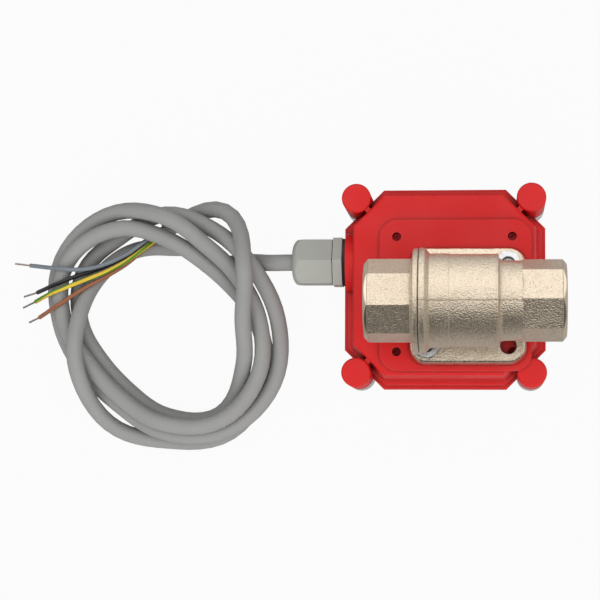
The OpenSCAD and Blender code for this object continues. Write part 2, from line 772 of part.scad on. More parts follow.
module end_cap() {
    spigot_r = chamber_r;
    cap_turn = -12.5;
    color([0.8, 0.74, 0.66]) at_pipe() difference() {
        union() {
            rotate(cap_turn) pipe_end(-cap_reach, cap_reach - cap_start, oct_d, -1);
            rotate_extrude() polygon([
                [0, -cap_start - 0.2], [oct_d / 2 - 0.2, -cap_start - 0.2], [oct_d / 2, -cap_start + 0.1],
                [oct_d / 2 + 0.5, -cap_start + 0.6], [collar_r - 0.9, -cap_start + 0.8],
                [collar_r - 0.5, -cap_start + 1], [collar_r - 0.3, -cap_start + 1.4],
                [collar_r - 0.3, collar_l - 0.4], [collar_r - 0.5, collar_l - 0.15],
                [collar_r - 0.9, collar_l - 0.15], [collar_r - 0.9, collar_l], [spigot_r, collar_l],
                [spigot_r, -seat_out], [0, -seat_out]
            ]);
        }
        pipe_bore();
        mouth_chamfer(-cap_reach, -1);
        translate([0, 0, -seat_out - 2.2]) ring(spigot_r + 1, spigot_r - 0.8, 1.4);
    }
}

module end_cap_seal() {
    color([0.1, 0.1, 0.1]) at_pipe() translate([0, 0, -seat_out - 2.2]) ring(chamber_r, chamber_r - 0.8, 1.4);
}

module ball() {
    color([0.85, 0.85, 0.86]) difference() {
        translate([stem_x, stem_y, valve_z]) sphere(r = ball_r, $fn = 64);
        at_pipe() translate([0, 0, -ball_r - 1]) cylinder(r = bore_r, h = 2 * ball_r + 2);
        at_stem() translate([-tang_w / 2 - tang_gap, -ball_r, valve_z - ball_r - 1])
            cube([tang_w + 2 * tang_gap, 2 * ball_r, slot_h + 1]);
    }
}

module ball_seats() {
    touch_r = ball_r + 0.1;
    start = acos(seat_in / touch_r);
    end = asin((bore_r + 0.4) / touch_r);
    color([0.95, 0.95, 0.93]) at_pipe() for (m = [0, 1]) mirror([0, 0, m]) rotate_extrude() polygon(concat(
        [for (k = [0:6]) let (a = start + (end - start) * k / 6) touch_r * [sin(a), cos(a)]],
        [[bore_r + 0.4, seat_out], [seat_r, seat_out], [seat_r, seat_in]]
    ));
}

module stem() {
    seal_w = 1.6;
    top = pocket_z + shoulder_t;
    color([0.8, 0.74, 0.62]) at_stem() difference() {
        union() {
            intersection() {
                translate([-square_af / 2, -square_af / 2, plate_z - socket_depth + 0.5])
                    cube([square_af, square_af, socket_depth + 1]);
                cylinder(r = stem_r, h = valve_z);
            }
            translate([0, 0, plate_z + 1]) cylinder(r = stem_r, h = pocket_z - plate_z - 1 + 0.5);
            translate([0, 0, pocket_z]) cylinder(r = shoulder_r, h = shoulder_t);
            intersection() {
                translate([-tang_w / 2, -shoulder_r, pocket_z])
                    cube([tang_w, 2 * shoulder_r, valve_z - ball_r + slot_h - 0.4 - pocket_z]);
                cylinder(r = shoulder_r - 0.6, h = valve_z);
            }
        }
        for (z = [plate_z + 2.4, plate_z + 5.2]) translate([0, 0, z]) ring(stem_r + 1, stem_r - 1.1, seal_w);
    }
}

module stem_seals() {
    seal_w = 1.6;
    color([0.1, 0.1, 0.1]) at_stem()
        for (z = [plate_z + 2.4, plate_z + 5.2]) translate([0, 0, z]) ring(stem_r, stem_r - 1.1, seal_w);
}

module at_fixings(z) {
    for (s = fixing_sides) translate([stem_x + s * hole_at, stem_y + s * hole_at, z]) children();
}

module flange_bolts() {
    shank_l = flange_z + washer_t + nut_t + bolt_stand - inner_z;
    color([0.78, 0.76, 0.72]) at_fixings(inner_z) screw_up(bolt_head_r, bolt_head_t, bolt_r, shank_l);
}

module flange_washers() {
    color([0.78, 0.76, 0.72]) at_fixings(flange_z) ring(washer_r, bolt_r + 0.2, washer_t);
}

module flange_nuts() {
    color([0.8, 0.78, 0.74]) at_fixings(flange_z + washer_t) difference() {
        intersection() {
            rotate(-8) cylinder(r = hex_r(nut_af), h = nut_t, $fn = 6);
            rotate_extrude() polygon([
                [0, 0], [nut_af / 2 + 0.5, 0], [nut_af / 2 + 0.9, 0.5],
                [nut_af / 2 + 0.9, nut_t - 0.5], [nut_af / 2 + 0.1, nut_t], [0, nut_t]
            ]);
        }
        translate([0, 0, -1]) cylinder(r = bolt_r, h = nut_t + 2);
    }
}

// Actuator drive
module output_bush() {
    color([0.7, 0.5, 0.25]) at_stem() translate([0, 0, inner_z - bush_drop])
        ring(bush_r, bush_in + run_gap, plate_z - inner_z + bush_drop);
}

module output_shaft() {
    collar_z = output_gear_z + output_gear_t;
    top = plate_z - 0.2;
    color([0.62, 0.62, 0.64]) at_stem() difference() {
        union() {
            translate([0, 0, indicator_z]) cylinder(r = shaft_low_r, h = top - indicator_z);
            translate([0, 0, deck_low_z - 0.8]) cylinder(r = shaft_r, h = top - deck_low_z);
            translate([0, 0, collar_z]) cylinder(r = bush_in, h = top - collar_z);
        }
        translate([-square_af / 2 - 0.1, -square_af / 2 - 0.1, plate_z - socket_depth])
            cube([square_af + 0.2, square_af + 0.2, socket_depth + 1]);
    }
}

// An involute gear outline: each tooth is half a pitch wide on the pitch circle, less the backlash
function involute(base_r, r) = let (a = acos(base_r / r)) tan(a) * 180 / PI - a;
module gear_outline(teeth) {
    pitch_r = teeth * gear_m / 2;
    base_r = pitch_r * cos(20);
    root_r = pitch_r - dedendum;
    tip_r = pitch_r + addendum;
    low_r = max(base_r, root_r);
    half = 90 / teeth - backlash / 4 / pitch_r * 180 / PI;
    steps = 4;
    flank = [
        for (k = [0:steps])
            let (r = low_r + (tip_r - low_r) * k / steps)
            [r, half - involute(base_r, r) + involute(base_r, pitch_r)]
    ];
    root_turn = flank[0][1];
    polygon([
        for (t = [0:teeth - 1])
            let (a = t * 360 / teeth)
            each concat(
                [root_r * [cos(a - root_turn - 0.4), sin(a - root_turn - 0.4)]],
                [for (f = flank) f[0] * [cos(a - f[1]), sin(a - f[1])]],
                [for (k = [steps:-1:0]) flank[k][0] * [cos(a + flank[k][1]), sin(a + flank[k][1])]],
                [root_r * [cos(a + root_turn + 0.4), sin(a + root_turn + 0.4)]]
            )
    ]);
}

module gear(teeth, z, t, turn) {
    translate([0, 0, z]) rotate(turn) linear_extrude(t) gear_outline(teeth);
}

module output_gear() {
    color([0.92, 0.9, 0.84]) at_stem() difference() {
        union() {
            gear(output_teeth, output_gear_z, output_gear_t, idler_turn);
            translate([0, 0, deck_z + 0.2]) cylinder(r = hub_r, h = output_gear_z - deck_z);
        }
        translate([0, 0, deck_z]) cylinder(r = shaft_r, h = gear_space);
        for (a = [0:60:300]) rotate(a) translate([13, 0, deck_z]) cylinder(r = 3, h = gear_space);
    }
}

module idler_gear() {
    half_tooth = 180 / pinion_teeth;
    color([0.92, 0.9, 0.84]) translate([idler_x, idler_y, 0]) difference() {
        union() {
            gear(wheel_teeth, wheel_z, wheel_t, motor_turn);
            gear(pinion_teeth, wheel_z + wheel_t - 0.5, output_gear_z + output_gear_t + 0.3 - wheel_z - wheel_t + 0.5,
                idler_turn + 180 + half_tooth);
            translate([0, 0, deck_z + 0.2]) cylinder(r = 4, h = 1.5);
        }
        translate([0, 0, deck_z]) cylinder(r = idler_axle_r + run_gap, h = gear_space);
    }
}

module idler_axle() {
    color([0.7, 0.7, 0.72]) translate([idler_x, idler_y, deck_low_z])
        cylinder(r = idler_axle_r, h = inner_z + 2 - deck_low_z);
}

module motor_pinion() {
    half_tooth = 180 / pinion_teeth;
    color([0.8, 0.7, 0.4]) translate([pinion_x, pinion_y, 0]) difference() {
        gear(pinion_teeth, deck_z + 0.9, wheel_t + 0.6, motor_turn + 180 + half_tooth);
        translate([0, 0, deck_z]) cylinder(r = motor_shaft_r, h = gear_space);
    }
}

module motor_shaft() {
    color([0.75, 0.75, 0.77]) translate([pinion_x, pinion_y, deck_low_z - 6])
        cylinder(r = motor_shaft_r, h = deck_t + 6 + wheel_t + 2);
}

module motor_body() {
    step = 1.2;
    color([0.78, 0.78, 0.76]) difference() {
        union() {
            translate([motor_x, motor_y, deck_low_z - motor_h]) rotate_extrude() polygon([
                [0, 0], [motor_r - 2, 0], [motor_r - step, 0.8], [motor_r - step, motor_h - 3],
                [motor_r, motor_h - 3], [motor_r, motor_h], [0, motor_h]
            ]);
            translate([pinion_x, pinion_y, deck_low_z - 1]) cylinder(r = motor_boss_r, h = deck_t + 1.3);
        }
        translate([pinion_x, pinion_y, deck_low_z - 6]) cylinder(r = motor_shaft_r + run_gap, h = 10);
        at_motor_screws(deck_low_z - 5) cylinder(r = 1.25, h = 6);
    }
}

module at_motor_screws(z) {
    for (a = motor_screw_turns)
        translate([motor_x + motor_screw_at * cos(a), motor_y + motor_screw_at * sin(a), z]) children();
}

module motor_screws() {
    color([0.75, 0.75, 0.77]) at_motor_screws(deck_z) mirror([0, 0, 1]) screw_up(2.3, 1.4, 1.25, deck_t + 4.5);
}

module gear_plate() {
    size = deck_high - deck_low;
    color([0.8, 0.8, 0.8]) difference() {
        at_house() translate([0, 0, deck_low_z]) linear_extrude(deck_t) polygon([
            deck_low + [deck_corner, 0], deck_low + [size[0] - deck_corner, 0], deck_low + [size[0], deck_corner],
            deck_high - [0, deck_corner], deck_high - [deck_corner, 0], deck_low + [deck_corner, size[1]],
            deck_low + [0, size[1] - deck_corner], deck_low + [0, deck_corner]
        ]);
        at_stem() translate([0, 0, deck_low_z - 1]) cylinder(r = shaft_r + run_gap, h = deck_t + 2);
        translate([idler_x, idler_y, deck_low_z - 1]) cylinder(r = idler_axle_r, h = deck_t + 2);
        translate([pinion_x, pinion_y, deck_low_z - 1]) cylinder(r = motor_boss_r + 0.1, h = deck_t + 2);
        at_motor_screws(deck_low_z - 1) cylinder(r = 1.35, h = deck_t + 2);
        at_pillars(deck_low_z - 1) cylinder(r = spigot_r, h = deck_t + 2);
        at_switch_screws(deck_low_z - 1) cylinder(r = switch_screw_r, h = deck_t + 2);
        at_board_posts(deck_low_z - 1) cylinder(r = 1.25, h = deck_t + 2);
    }
}

module at_pillars(z) {
    translate([pillar_x, pillar_y, z]) at_corners(pillar_at) children();
}

module gear_pillars() {
    color([0.72, 0.72, 0.74]) difference() {
        union() {
            at_pillars(deck_z) cylinder(r = pillar_r, h = gear_space);
            at_pillars(deck_low_z) cylinder(r = spigot_r, h = deck_t + 1);
        }
        at_pillars(inner_z - 7) cylinder(r = gearbox_shank_r, h = 10);
    }
}

module gearbox_screws() {
    seat_z = plate_z - gearbox_recess;
    color([0.7, 0.7, 0.7]) at_pillars(seat_z) mirror([0, 0, 1])
        screw_up(gearbox_head_r, gearbox_head_t, gearbox_shank_r, seat_z - inner_z + 6);
}

// A cam whose radius falls or rises evenly over the quarter turn that faces the switch
module cam(z, sign) {
    margin = 25;
    top = cam_r + 0;
    color([0.95, 0.95, 0.92]) at_stem() translate([0, 0, z - cam_t / 2]) difference() {
        linear_extrude(cam_t) polygon([
            for (a = [-180:5:175])
                let (turned = min(max(-a, -margin), 90 + margin),
                     r = sign > 0 ? top - cam_lift * turned / 90 : top - cam_lift + cam_lift * turned / 90)
                r * [cos(a), sin(a)]
        ]);
        translate([0, 0, -1]) cylinder(r = shaft_low_r, h = cam_t + 2);
    }
}

module cam_open() {
    cam(cam_open_z, 1);
}

module cam_close() {
    cam(cam_close_z, -1);
}

module limit_switch(z) {
    leg_w = 3;
    legs = [-7.5, 0, 7.5];
    color([0.12, 0.12, 0.13]) difference() {
        union() {
            translate([switch_x, stem_y - switch_l / 2, z]) cube([switch_w, switch_l, switch_t]);
            for (y = legs)
                translate([switch_x + switch_w - 1, stem_y + y - leg_w / 2, z + switch_t / 2 - 0.25])
                    cube([4, leg_w, 0.5]);
        }
        translate([switch_x - 1, stem_y, z + switch_t / 2]) rotate([0, 90, 0])
            cylinder(r = plunger_r + run_gap, h = plunger_l - 1.6 + plunger_room);
        for (y = [-1, 1]) translate([switch_hole_x, stem_y + y * switch_hole_y, z - 1])
            cylinder(r = switch_screw_r + 0.05, h = switch_t + 2);
    }
}

module limit_switch_open() {
    limit_switch(switch_open_z);
}

module limit_switch_close() {
    limit_switch(switch_close_z);
}

module plunger(z, reach) {
    color([0.8, 0.2, 0.15]) translate([stem_x + reach + clear_gap, stem_y, z]) rotate([0, 90, 0])
        cylinder(r = plunger_r, h = plunger_l);
}

module plunger_open() {
    plunger(cam_open_z, cam_r);
}

module plunger_close() {
    plunger(cam_close_z, cam_r - cam_lift);
}

module at_switch_screws(z) {
    for (y = [-1, 1]) translate([switch_hole_x, stem_y + y * switch_hole_y, z]) children();
}

module switch_screws() {
    color([0.75, 0.75, 0.77]) at_switch_screws(switch_close_z)
        screw_up(1.9, 1.4, switch_screw_r, deck_z - switch_close_z);
}

module position_indicator() {
    color([0.9, 0.2, 0.15]) at_stem() difference() {
        union() {
            translate([0, 0, indicator_z]) cylinder(r = indicator_r - 2, h = indicator_t);
            translate([-indicator_r, -1.5, indicator_z - 0.8]) cube([2 * indicator_r, 3, indicator_t]);
        }
        translate([0, 0, indicator_z]) cylinder(r = shaft_low_r, h = indicator_t + 1);
    }
}

// Circuit board, under the gear plate beside the motor
module at_board(z) {
    translate([board_x, board_y, z]) children();
}

module at_board_posts(z) {
    for (p = board_posts) at_board(z) translate([p[0], p[1], 0]) children();
}

module circuit_board() {
    color([0.1, 0.4, 0.2]) difference() {
        union() {
            at_board(board_z) cube([board_l, board_w, board_t]);
            at_board(board_z + board_t) translate([12, 12, 0]) cube([10, 8, 5]);
            at_board(board_z + board_t) translate([10, 6, 0]) cylinder(r = 2.5, h = 5.5);
        }
        at_board_posts(board_z - 1) cylinder(r = 1.3, h = board_t + 2);
    }
}

module board_spacers() {
    color([0.8, 0.68, 0.4]) difference() {
        union() {
            at_board_posts(board_z + board_t) cylinder(r = 2.3, h = deck_low_z - board_z - board_t);
            at_board_posts(deck_low_z - 1) cylinder(r = 1.25, h = deck_t + 1);
        }
        at_board_posts(board_z + board_t - 1) cylinder(r = 1.1, h = 5);
    }
}

module board_screws() {
    color([0.75, 0.75, 0.77]) at_board_posts(board_z) screw_up(1.9, 1.3, 1.1, board_t + 3.8);
}

module at_terminals(z) {
    for (k = [0:3]) translate([block_x, block_y + (k + 0.5) * block_pitch, z]) children();
}

module terminal_block() {
    color([0.2, 0.5, 0.3]) difference() {
        translate([block_x, block_y, block_z]) cube([block_w, block_l, block_h]);
        at_terminals(block_z - 1) translate([block_w / 2, 0, 0]) cylinder(r = 1.5, h = 3);
        at_terminals(block_hole_z) translate([-1, 0, 0]) rotate([0, 90, 0]) cylinder(r = 1.3, h = block_hole_l + 1);
    }
}

module terminal_screws() {
    color([0.75, 0.75, 0.77]) at_terminals(block_z + 0.6) translate([block_w / 2, 0, 0]) difference() {
        cylinder(r = 1.4, h = 1.4);
        translate([-1.2, -0.25, -1]) cube([2.4, 0.5, 1.5]);
    }
}

base_housing();
cover();
cover_gasket();
cover_screws();
gland_body();
gland_nut();
gland_gasket();
gland_seal();
gland_locknut();
cable_entry();
inner_leads();
cable_lead();
cable_coil();
wire_grey();
wire_black();
wire_green_yellow();
wire_brown();
wire_tips();
valve_body();
end_cap();
end_cap_seal();
ball();
ball_seats();
stem();
stem_seals();
flange_bolts();
flange_washers();
flange_nuts();
output_bush();
output_shaft();
output_gear();
idler_gear();
idler_axle();
motor_pinion();
motor_shaft();
motor_body();
motor_screws();
gear_plate();
gear_pillars();
gearbox_screws();
cam_open();
cam_close();
limit_switch_open();
limit_switch_close();
plunger_open();
plunger_close();
switch_screws();
position_indicator();
circuit_board();
board_spacers();
board_screws();
terminal_block();
terminal_screws();
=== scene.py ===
"""Looks of a motorized ball valve: a nickel-plated brass valve on a red actuator with a clear cover,
a grey cable gland and a coiled grey cable with four stripped wires."""

import json
import math

import bmesh
import bpy
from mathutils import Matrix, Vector


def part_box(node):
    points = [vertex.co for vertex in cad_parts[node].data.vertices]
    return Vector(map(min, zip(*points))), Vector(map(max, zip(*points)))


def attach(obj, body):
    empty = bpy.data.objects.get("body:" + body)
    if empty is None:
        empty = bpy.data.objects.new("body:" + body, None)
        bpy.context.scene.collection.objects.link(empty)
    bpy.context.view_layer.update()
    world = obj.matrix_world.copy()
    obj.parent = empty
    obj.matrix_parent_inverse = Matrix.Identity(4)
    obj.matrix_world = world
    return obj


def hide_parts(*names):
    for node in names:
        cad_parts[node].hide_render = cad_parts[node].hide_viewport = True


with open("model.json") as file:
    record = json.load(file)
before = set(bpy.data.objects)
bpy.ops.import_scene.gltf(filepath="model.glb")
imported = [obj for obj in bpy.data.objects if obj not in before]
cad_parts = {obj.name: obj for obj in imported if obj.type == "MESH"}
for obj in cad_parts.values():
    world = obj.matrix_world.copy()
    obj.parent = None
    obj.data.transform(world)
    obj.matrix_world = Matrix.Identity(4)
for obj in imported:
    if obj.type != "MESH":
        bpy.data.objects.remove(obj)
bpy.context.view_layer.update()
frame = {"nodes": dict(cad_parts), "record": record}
nodes = frame["nodes"]
MM = 0.001

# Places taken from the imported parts, so that what is added here follows them.
# STEM is the ball's middle, where the stem's axis and the pipe's axis cross.
PORT_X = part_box("valve_body")[1].x
CAP_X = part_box("end_cap")[0].x
ball_low, ball_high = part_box("ball")
STEM = (ball_low + ball_high) / 2
board_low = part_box("circuit_board")[0]
block_low, block_high = (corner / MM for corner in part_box("terminal_block"))

# The cast body starts here, in millimetres from the stem, at the ring that closes the end cap's joint
BODY_START = -19.3


# Camera: fitted to the photograph, which looks down the stem from about 0.9 m
camera_data = bpy.data.cameras.new("camera")
camera_data.lens = 122.76
camera_data.sensor_width = 36
camera_data.clip_start = 0.05
camera = bpy.data.objects.new("camera", camera_data)
camera.location = (0.02783, -0.0775, 0.90767)
camera.rotation_euler = (0.08211, 0.09332, 0.00561)
bpy.context.scene.collection.objects.link(camera)
bpy.context.scene.camera = camera


# Cable and wires: sizes in millimetres and angles in degrees; the routes repeat those of the part's source
GLAND_TIP = Vector((-58, 11, 28))
GLAND_STRAIGHT = 4
CABLE_D = 7.2
ROUTE_STEPS = 4
LEAD_ROUTE = [
    (-66, 11, 27.3), (-70.5, 11.3, 25.1), (-75.5, 11.9, 22), (-81, 12.1, 18.6),
    (-87, 12, 15), (-92.4, 12.5, 11.9), (-97.8, 14.4, 9.2), (-102.4, 17.2, 7.1),
]

# The coil: its middle, its first and last angle, and a radius and a height for every 30 degrees
COIL_MIDDLE = (-116, -13)
COIL_START = 90
COIL_END = 1524
COIL_STEP = 30
COIL_FINE_STEP = 5
COIL_RADIUS = [
    33.2, 36.1, 37.2, 38.5, 44.5, 52.5, 53, 56.5, 50, 40, 32.5, 31, 36,
    46.5, 52, 46, 39.5, 39.5, 45.5, 51, 48.5, 42.5, 38, 37.5, 45,
    54.5, 56.5, 49.5, 44, 43, 49.5, 55.5, 55.5, 50.5, 46, 45, 46.8,
    44, 45, 40, 35, 35.5, 42, 47.5, 40.5, 36.5, 44, 54.5, 41.4, 31,
]
COIL_HEIGHT = [
    4.4, 3.6, 8, 17, 18.5, 4.5, 3.6, 3.6, 3.6, 9.5, 19.5, 22.5, 21,
    16, 11.5, 11.3, 11.5, 14.5, 18, 18, 17.5, 22, 27, 28, 26,
    11, 4, 3.6, 4, 7, 11.3, 11.5, 11.8, 19, 31.5, 22.5, 16.9,
    6, 3.6, 3.6, 3.6, 3.6, 4, 5.5, 15.5, 31, 42, 22.6, 11, 76,
]

# The wires leave the sheath as a bundle of four, straight at first
WIRE_D = 1.9
WIRE_SIDES = 20
BUNDLE_OFFSET = WIRE_D / 2 + 0.15
BUNDLE_STRAIGHT = 1.5

# The earth wire's stripes start at this angle and turn by this much in each metre
EARTH_PHASE = math.radians(24)
EARTH_TWIST = math.radians(3000)

# Each wire has its place in the bundle, sideways and up, the route of its insulation, and its bare tip's end
WIRES = {
    "grey": (1, 1, [
        (-123, 24.6, 11.7), (-129, 19.8, 13.9), (-133.5, 16.4, 14.5), (-142.5, 12.2, 14.8), (-150.5, 10, 15),
        (-156.5, 9.5, 15.9), (-162, 9.8, 16.5), (-166, 10.3, 15), (-170, 10.9, 11.8), (-174.5, 11.7, 8),
        (-179.2, 12.5, 4.5),
    ], (-187, 13.7, 1)),
    "black": (1, -1, [
        (-123.9, 24.3, 9.6), (-129.2, 19.6, 11.4), (-133.5, 16.2, 11.9), (-142.5, 11.6, 12.4), (-150.5, 8.7, 13),
        (-158, 5.8, 15.9), (-163, 3.7, 16.4), (-166.8, 2.4, 15.4), (-170.7, 1.2, 12), (-175.2, 0.1, 7),
    ], (-182.5, -1.4, 2)),
    "green_yellow": (-1, 1, [
        (-121.8, 22.6, 11.7), (-127.8, 17.6, 13.8), (-134.2, 12.9, 15.3), (-142.2, 8.7, 15.7), (-150, 5.6, 16),
        (-158, 2.5, 16.5), (-162.2, 0.8, 16.4), (-166.4, -0.6, 15.4), (-171, -2.1, 11.2), (-176.4, -3.9, 5.4),
    ], (-183, -6.3, 1)),
    "brown": (-1, -1, [
        (-122.4, 22, 9.7), (-127.8, 17.6, 11.4), (-134.2, 12, 12.9), (-142.5, 6.7, 14), (-150.3, 2.4, 15.1),
        (-156.1, -1.2, 16), (-161.9, -5.2, 16.3), (-166, -7.4, 15.3), (-169.8, -9.2, 11.3), (-174.4, -11, 5.6),
    ], (-180, -13, 1.4)),
}


def pick(values, i):
    return values[min(max(i, 0), len(values) - 1)]


def between(values, u):
    """The value at u on a smooth curve through a list's entries."""
    i = min(math.floor(u), len(values) - 2)
    a, b, c, d = (pick(values, i + k) for k in (-1, 0, 1, 2))
    t = u - i
    return (b * 2 + (c - a) * t + (a * 2 - b * 5 + c * 4 - d) * t**2 + (b * 3 - a - c * 3 + d) * t**3) * 0.5


def smooth(points, steps):
    points = [Vector(p) for p in points]
    return [between(points, i + k / steps) for i in range(len(points) - 1) for k in range(steps)] + [points[-1]]


def coil_point(angle):
    u = (angle - COIL_START) / COIL_STEP
    r = between(COIL_RADIUS, u)
    height = max(between(COIL_HEIGHT, u), CABLE_D / 2)
    turn = math.radians(angle)
    return Vector((COIL_MIDDLE[0] + r * math.cos(turn), COIL_MIDDLE[1] + r * math.sin(turn), height))


def tube_curve(name, points, diameter, resolution):
    """A round tube along points in millimetres, as a curve of one open spline."""
    data = bpy.data.curves.new(name, "CURVE")
    data.dimensions = "3D"
    data.bevel_depth = 1.0
    data.bevel_resolution = resolution
    data.use_fill_caps = True
    spline = data.splines.new("POLY")
    spline.points.add(len(points) - 1)
    for target, p in zip(spline.points, points):
        target.co = (p.x * MM, p.y * MM, p.z * MM, 1)
        target.radius = diameter / 2 * MM
    spline.use_smooth = True
    obj = bpy.data.objects.new(name, data)
    bpy.context.scene.collection.objects.link(obj)
    return obj


def sweep(bm, rings, material=None):
    """Joins rings of points, all of one count, with four-sided faces, and closes both ends.

    The function material, if there is one, gives each side's material number.
    """
    made = [[bm.verts.new(p) for p in ring] for ring in rings]
    count = len(made[0])
    for a, b in zip(made, made[1:]):
        for k in range(count):
            face = bm.faces.new((a[k], a[(k + 1) % count], b[(k + 1) % count], b[k]))
            if material is not None:
                face.material_index = material(k)
    bm.faces.new(made[0])
    bm.faces.new(made[-1])


def tube_rings(points, radius, sides, phase=0.0, twist=0.0):
    """Rings of a round tube along points, turned by phase and by twist, in radians for each metre."""
    rings = []
    across = None
    for i, p in enumerate(points):
        if i > 0:
            phase += twist * (p - points[i - 1]).length
        way = (points[min(i + 1, len(points) - 1)] - points[max(i - 1, 0)]).normalized()
        if across is None:
            across = way.cross(Vector((0, 0, 1))).normalized()
        across = (across - way * across.dot(way)).normalized()
        rise = across.cross(way)
        turn = 2 * math.pi / sides
        rings.append([
            p + (across * math.cos(k * turn + phase) + rise * math.sin(k * turn + phase)) * radius
            for k in range(sides)
        ])
    return rings


def tube_mesh(name, runs, sides=WIRE_SIDES, phase=0.0, twist=0.0):
    """Round tubes in one mesh; each run has points, a diameter in millimetres and its material by side."""
    mesh = bpy.data.meshes.new(name)
    bm = bmesh.new()
    for points, diameter, material in runs:
        rings = tube_rings([p * MM for p in points], diameter / 2 * MM, sides, phase, twist)
        sweep(bm, rings, material)
    bmesh.ops.recalc_face_normals(bm, faces=bm.faces)
    bm.to_mesh(mesh)
    bm.free()
    for polygon in mesh.polygons:
        polygon.use_smooth = len(polygon.vertices) == 4
    obj = bpy.data.objects.new(name, mesh)
    bpy.context.scene.collection.objects.link(obj)
    return obj


def stripe(k):
    """Material number by side of the earth wire: green on two opposite stripes, yellow between them."""
    return 1 if k % (WIRE_SIDES // 2) < 4 else 0


def coil_run():
    """The point before the coil, the coil's points, the sheath's end and its direction."""
    count = (COIL_END - COIL_START) // COIL_FINE_STEP + 1
    angles = [COIL_START + COIL_FINE_STEP * k for k in range(count)] + [COIL_END]
    turns = [coil_point(a) for a in angles]
    first_way = (coil_point(COIL_START + COIL_STEP / 2) - turns[0]).normalized()
    last_way = (coil_point(COIL_END + 1) - coil_point(COIL_END - 1)).normalized()
    return turns[0] - first_way * CABLE_D, turns, turns[-1] + last_way * CABLE_D, last_way


coil_in, coil_turns, coil_out, coil_heading = coil_run()
gland_out = GLAND_TIP - Vector((GLAND_STRAIGHT, 0, 0))
lead_points = smooth([gland_out] + LEAD_ROUTE + [coil_in, coil_turns[0]], ROUTE_STEPS)[:-ROUTE_STEPS]
cable_points = [GLAND_TIP] + lead_points + coil_turns + [coil_out]
cable = tube_curve("cable", cable_points, CABLE_D, 9)
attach(cable, "housing")
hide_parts("cable_lead", "cable_coil")

side_way = coil_heading.cross(Vector((0, 0, 1))).normalized()
up_way = side_way.cross(coil_heading)
wire_objects = {}
tip_runs = {}
for name, (side, up, route, tip) in WIRES.items():
    start = coil_out + (side_way * side + up_way * up) * BUNDLE_OFFSET
    points = [start] + smooth([start + coil_heading * BUNDLE_STRAIGHT] + route, ROUTE_STEPS)
    striped = name == "green_yellow"
    if striped:
        run = (points, WIRE_D, stripe)
        wire = tube_mesh("wire_green_yellow_insulation", [run], phase=EARTH_PHASE, twist=EARTH_TWIST)
    else:
        wire = tube_curve("wire_" + name + "_insulation", points, WIRE_D, 6)
    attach(wire, "housing")
    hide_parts("wire_" + name)
    wire_objects[name] = wire
    tip_runs[name] = (Vector(route[-1]), Vector(tip))


# Inside the housing: the sheath's end in the gland, and the four cores that run on from it to the terminals.
# All is in millimetres. The housing's middle is at HOUSE_X, and the wall's inner face at WALL_IN from there;
# the trunk's points give their distance from that face, then Y and Z. A core whose terminal is less than
# NEAR_TERMINALS from the board's edge runs by NEAR_TURN_Y first.
HOUSE_X = 7.5
WALL_IN = 36.5
CORE_REACH = WALL_IN - 1.3
TERMINAL_PITCH = 5
TERMINAL_HOLE_DOWN = 3.2
NEAR_TERMINALS = 15.5
NEAR_TURN_Y = -11.2
LEADS_TRUNK = [
    (3.7, 11, 28), (5.9, 9.6, 28.9), (6.3, 6, 30.3), (6.1, 2, 31.2), (4.8, -2, 31), (2.75, -5, 28.5),
    (2.5, -6.5, 24.5), (2.5, -7.1, 20), (2.5, -7.7, 16), (2.5, -9, 12.6),
]


def core_points(k, side, up):
    """The core to terminal k, at its side of the bundle of four."""
    trunk = [Vector(p) for p in LEADS_TRUNK]
    hole_y = block_low.y + (k + 0.5) * TERMINAL_PITCH
    hole_z = block_high.z - TERMINAL_HOLE_DOWN
    block_x = block_low.x - HOUSE_X
    x = trunk[-1].x - WALL_IN + side * BUNDLE_OFFSET
    entry = Vector((-CORE_REACH, GLAND_TIP.y + side * BUNDLE_OFFSET, GLAND_TIP.z + up * BUNDLE_OFFSET))
    route = [entry + Vector((1, 0, 0))]
    for i, p in enumerate(trunk):
        way = (trunk[min(i + 1, len(trunk) - 1)] - trunk[max(i - 1, 0)]).normalized()
        across = Vector((0, 0, 1)).cross(way).normalized()
        route.append(p - Vector((WALL_IN, 0, 0)) + (across * side + way.cross(across) * up) * BUNDLE_OFFSET)
    if hole_y < board_low.y / MM + NEAR_TERMINALS:
        route.append(Vector((x, NEAR_TURN_Y, hole_z + up * BUNDLE_OFFSET)))
    route.append(Vector((x + 0.3, hole_y + 2, hole_z + up * BUNDLE_OFFSET)))
    route.append(Vector((x + 2.4, hole_y + 0.3, hole_z + up * BUNDLE_OFFSET * 0.5)))
    route += [Vector((block_x - 4, hole_y, hole_z)), Vector((block_x, hole_y, hole_z))]
    points = [entry] + smooth(route, 5) + [Vector((block_x + 4, hole_y, hole_z))]
    return [p + Vector((HOUSE_X, 0, 0)) for p in points]


CORE_COLOURS = ("wire_yellow", "wire_green", "wire_black", "wire_grey", "wire_brown")
core_runs = [
    (core_points(0, -1, -1), WIRE_D, lambda k: CORE_COLOURS.index("wire_brown")),
    (core_points(1, -1, 1), WIRE_D, stripe),
    (core_points(2, 1, -1), WIRE_D, lambda k: CORE_COLOURS.index("wire_black")),
    (core_points(3, 1, 1), WIRE_D, lambda k: CORE_COLOURS.index("wire_grey")),
]
inner_cores = tube_mesh("inner_cores", core_runs)
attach(inner_cores, "housing")
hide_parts("inner_leads")

SHEATH_STEPS = 12
sheath_start = Vector((HOUSE_X - CORE_REACH, GLAND_TIP.y, GLAND_TIP.z))
sheath_run = [sheath_start + (GLAND_TIP - sheath_start) * (k / SHEATH_STEPS) for k in range(SHEATH_STEPS + 1)]
sheath_end = tube_mesh("cable_entry_sheath", [(sheath_run, CABLE_D, None)], sides=32)
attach(sheath_end, "housing")
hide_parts("cable_entry")


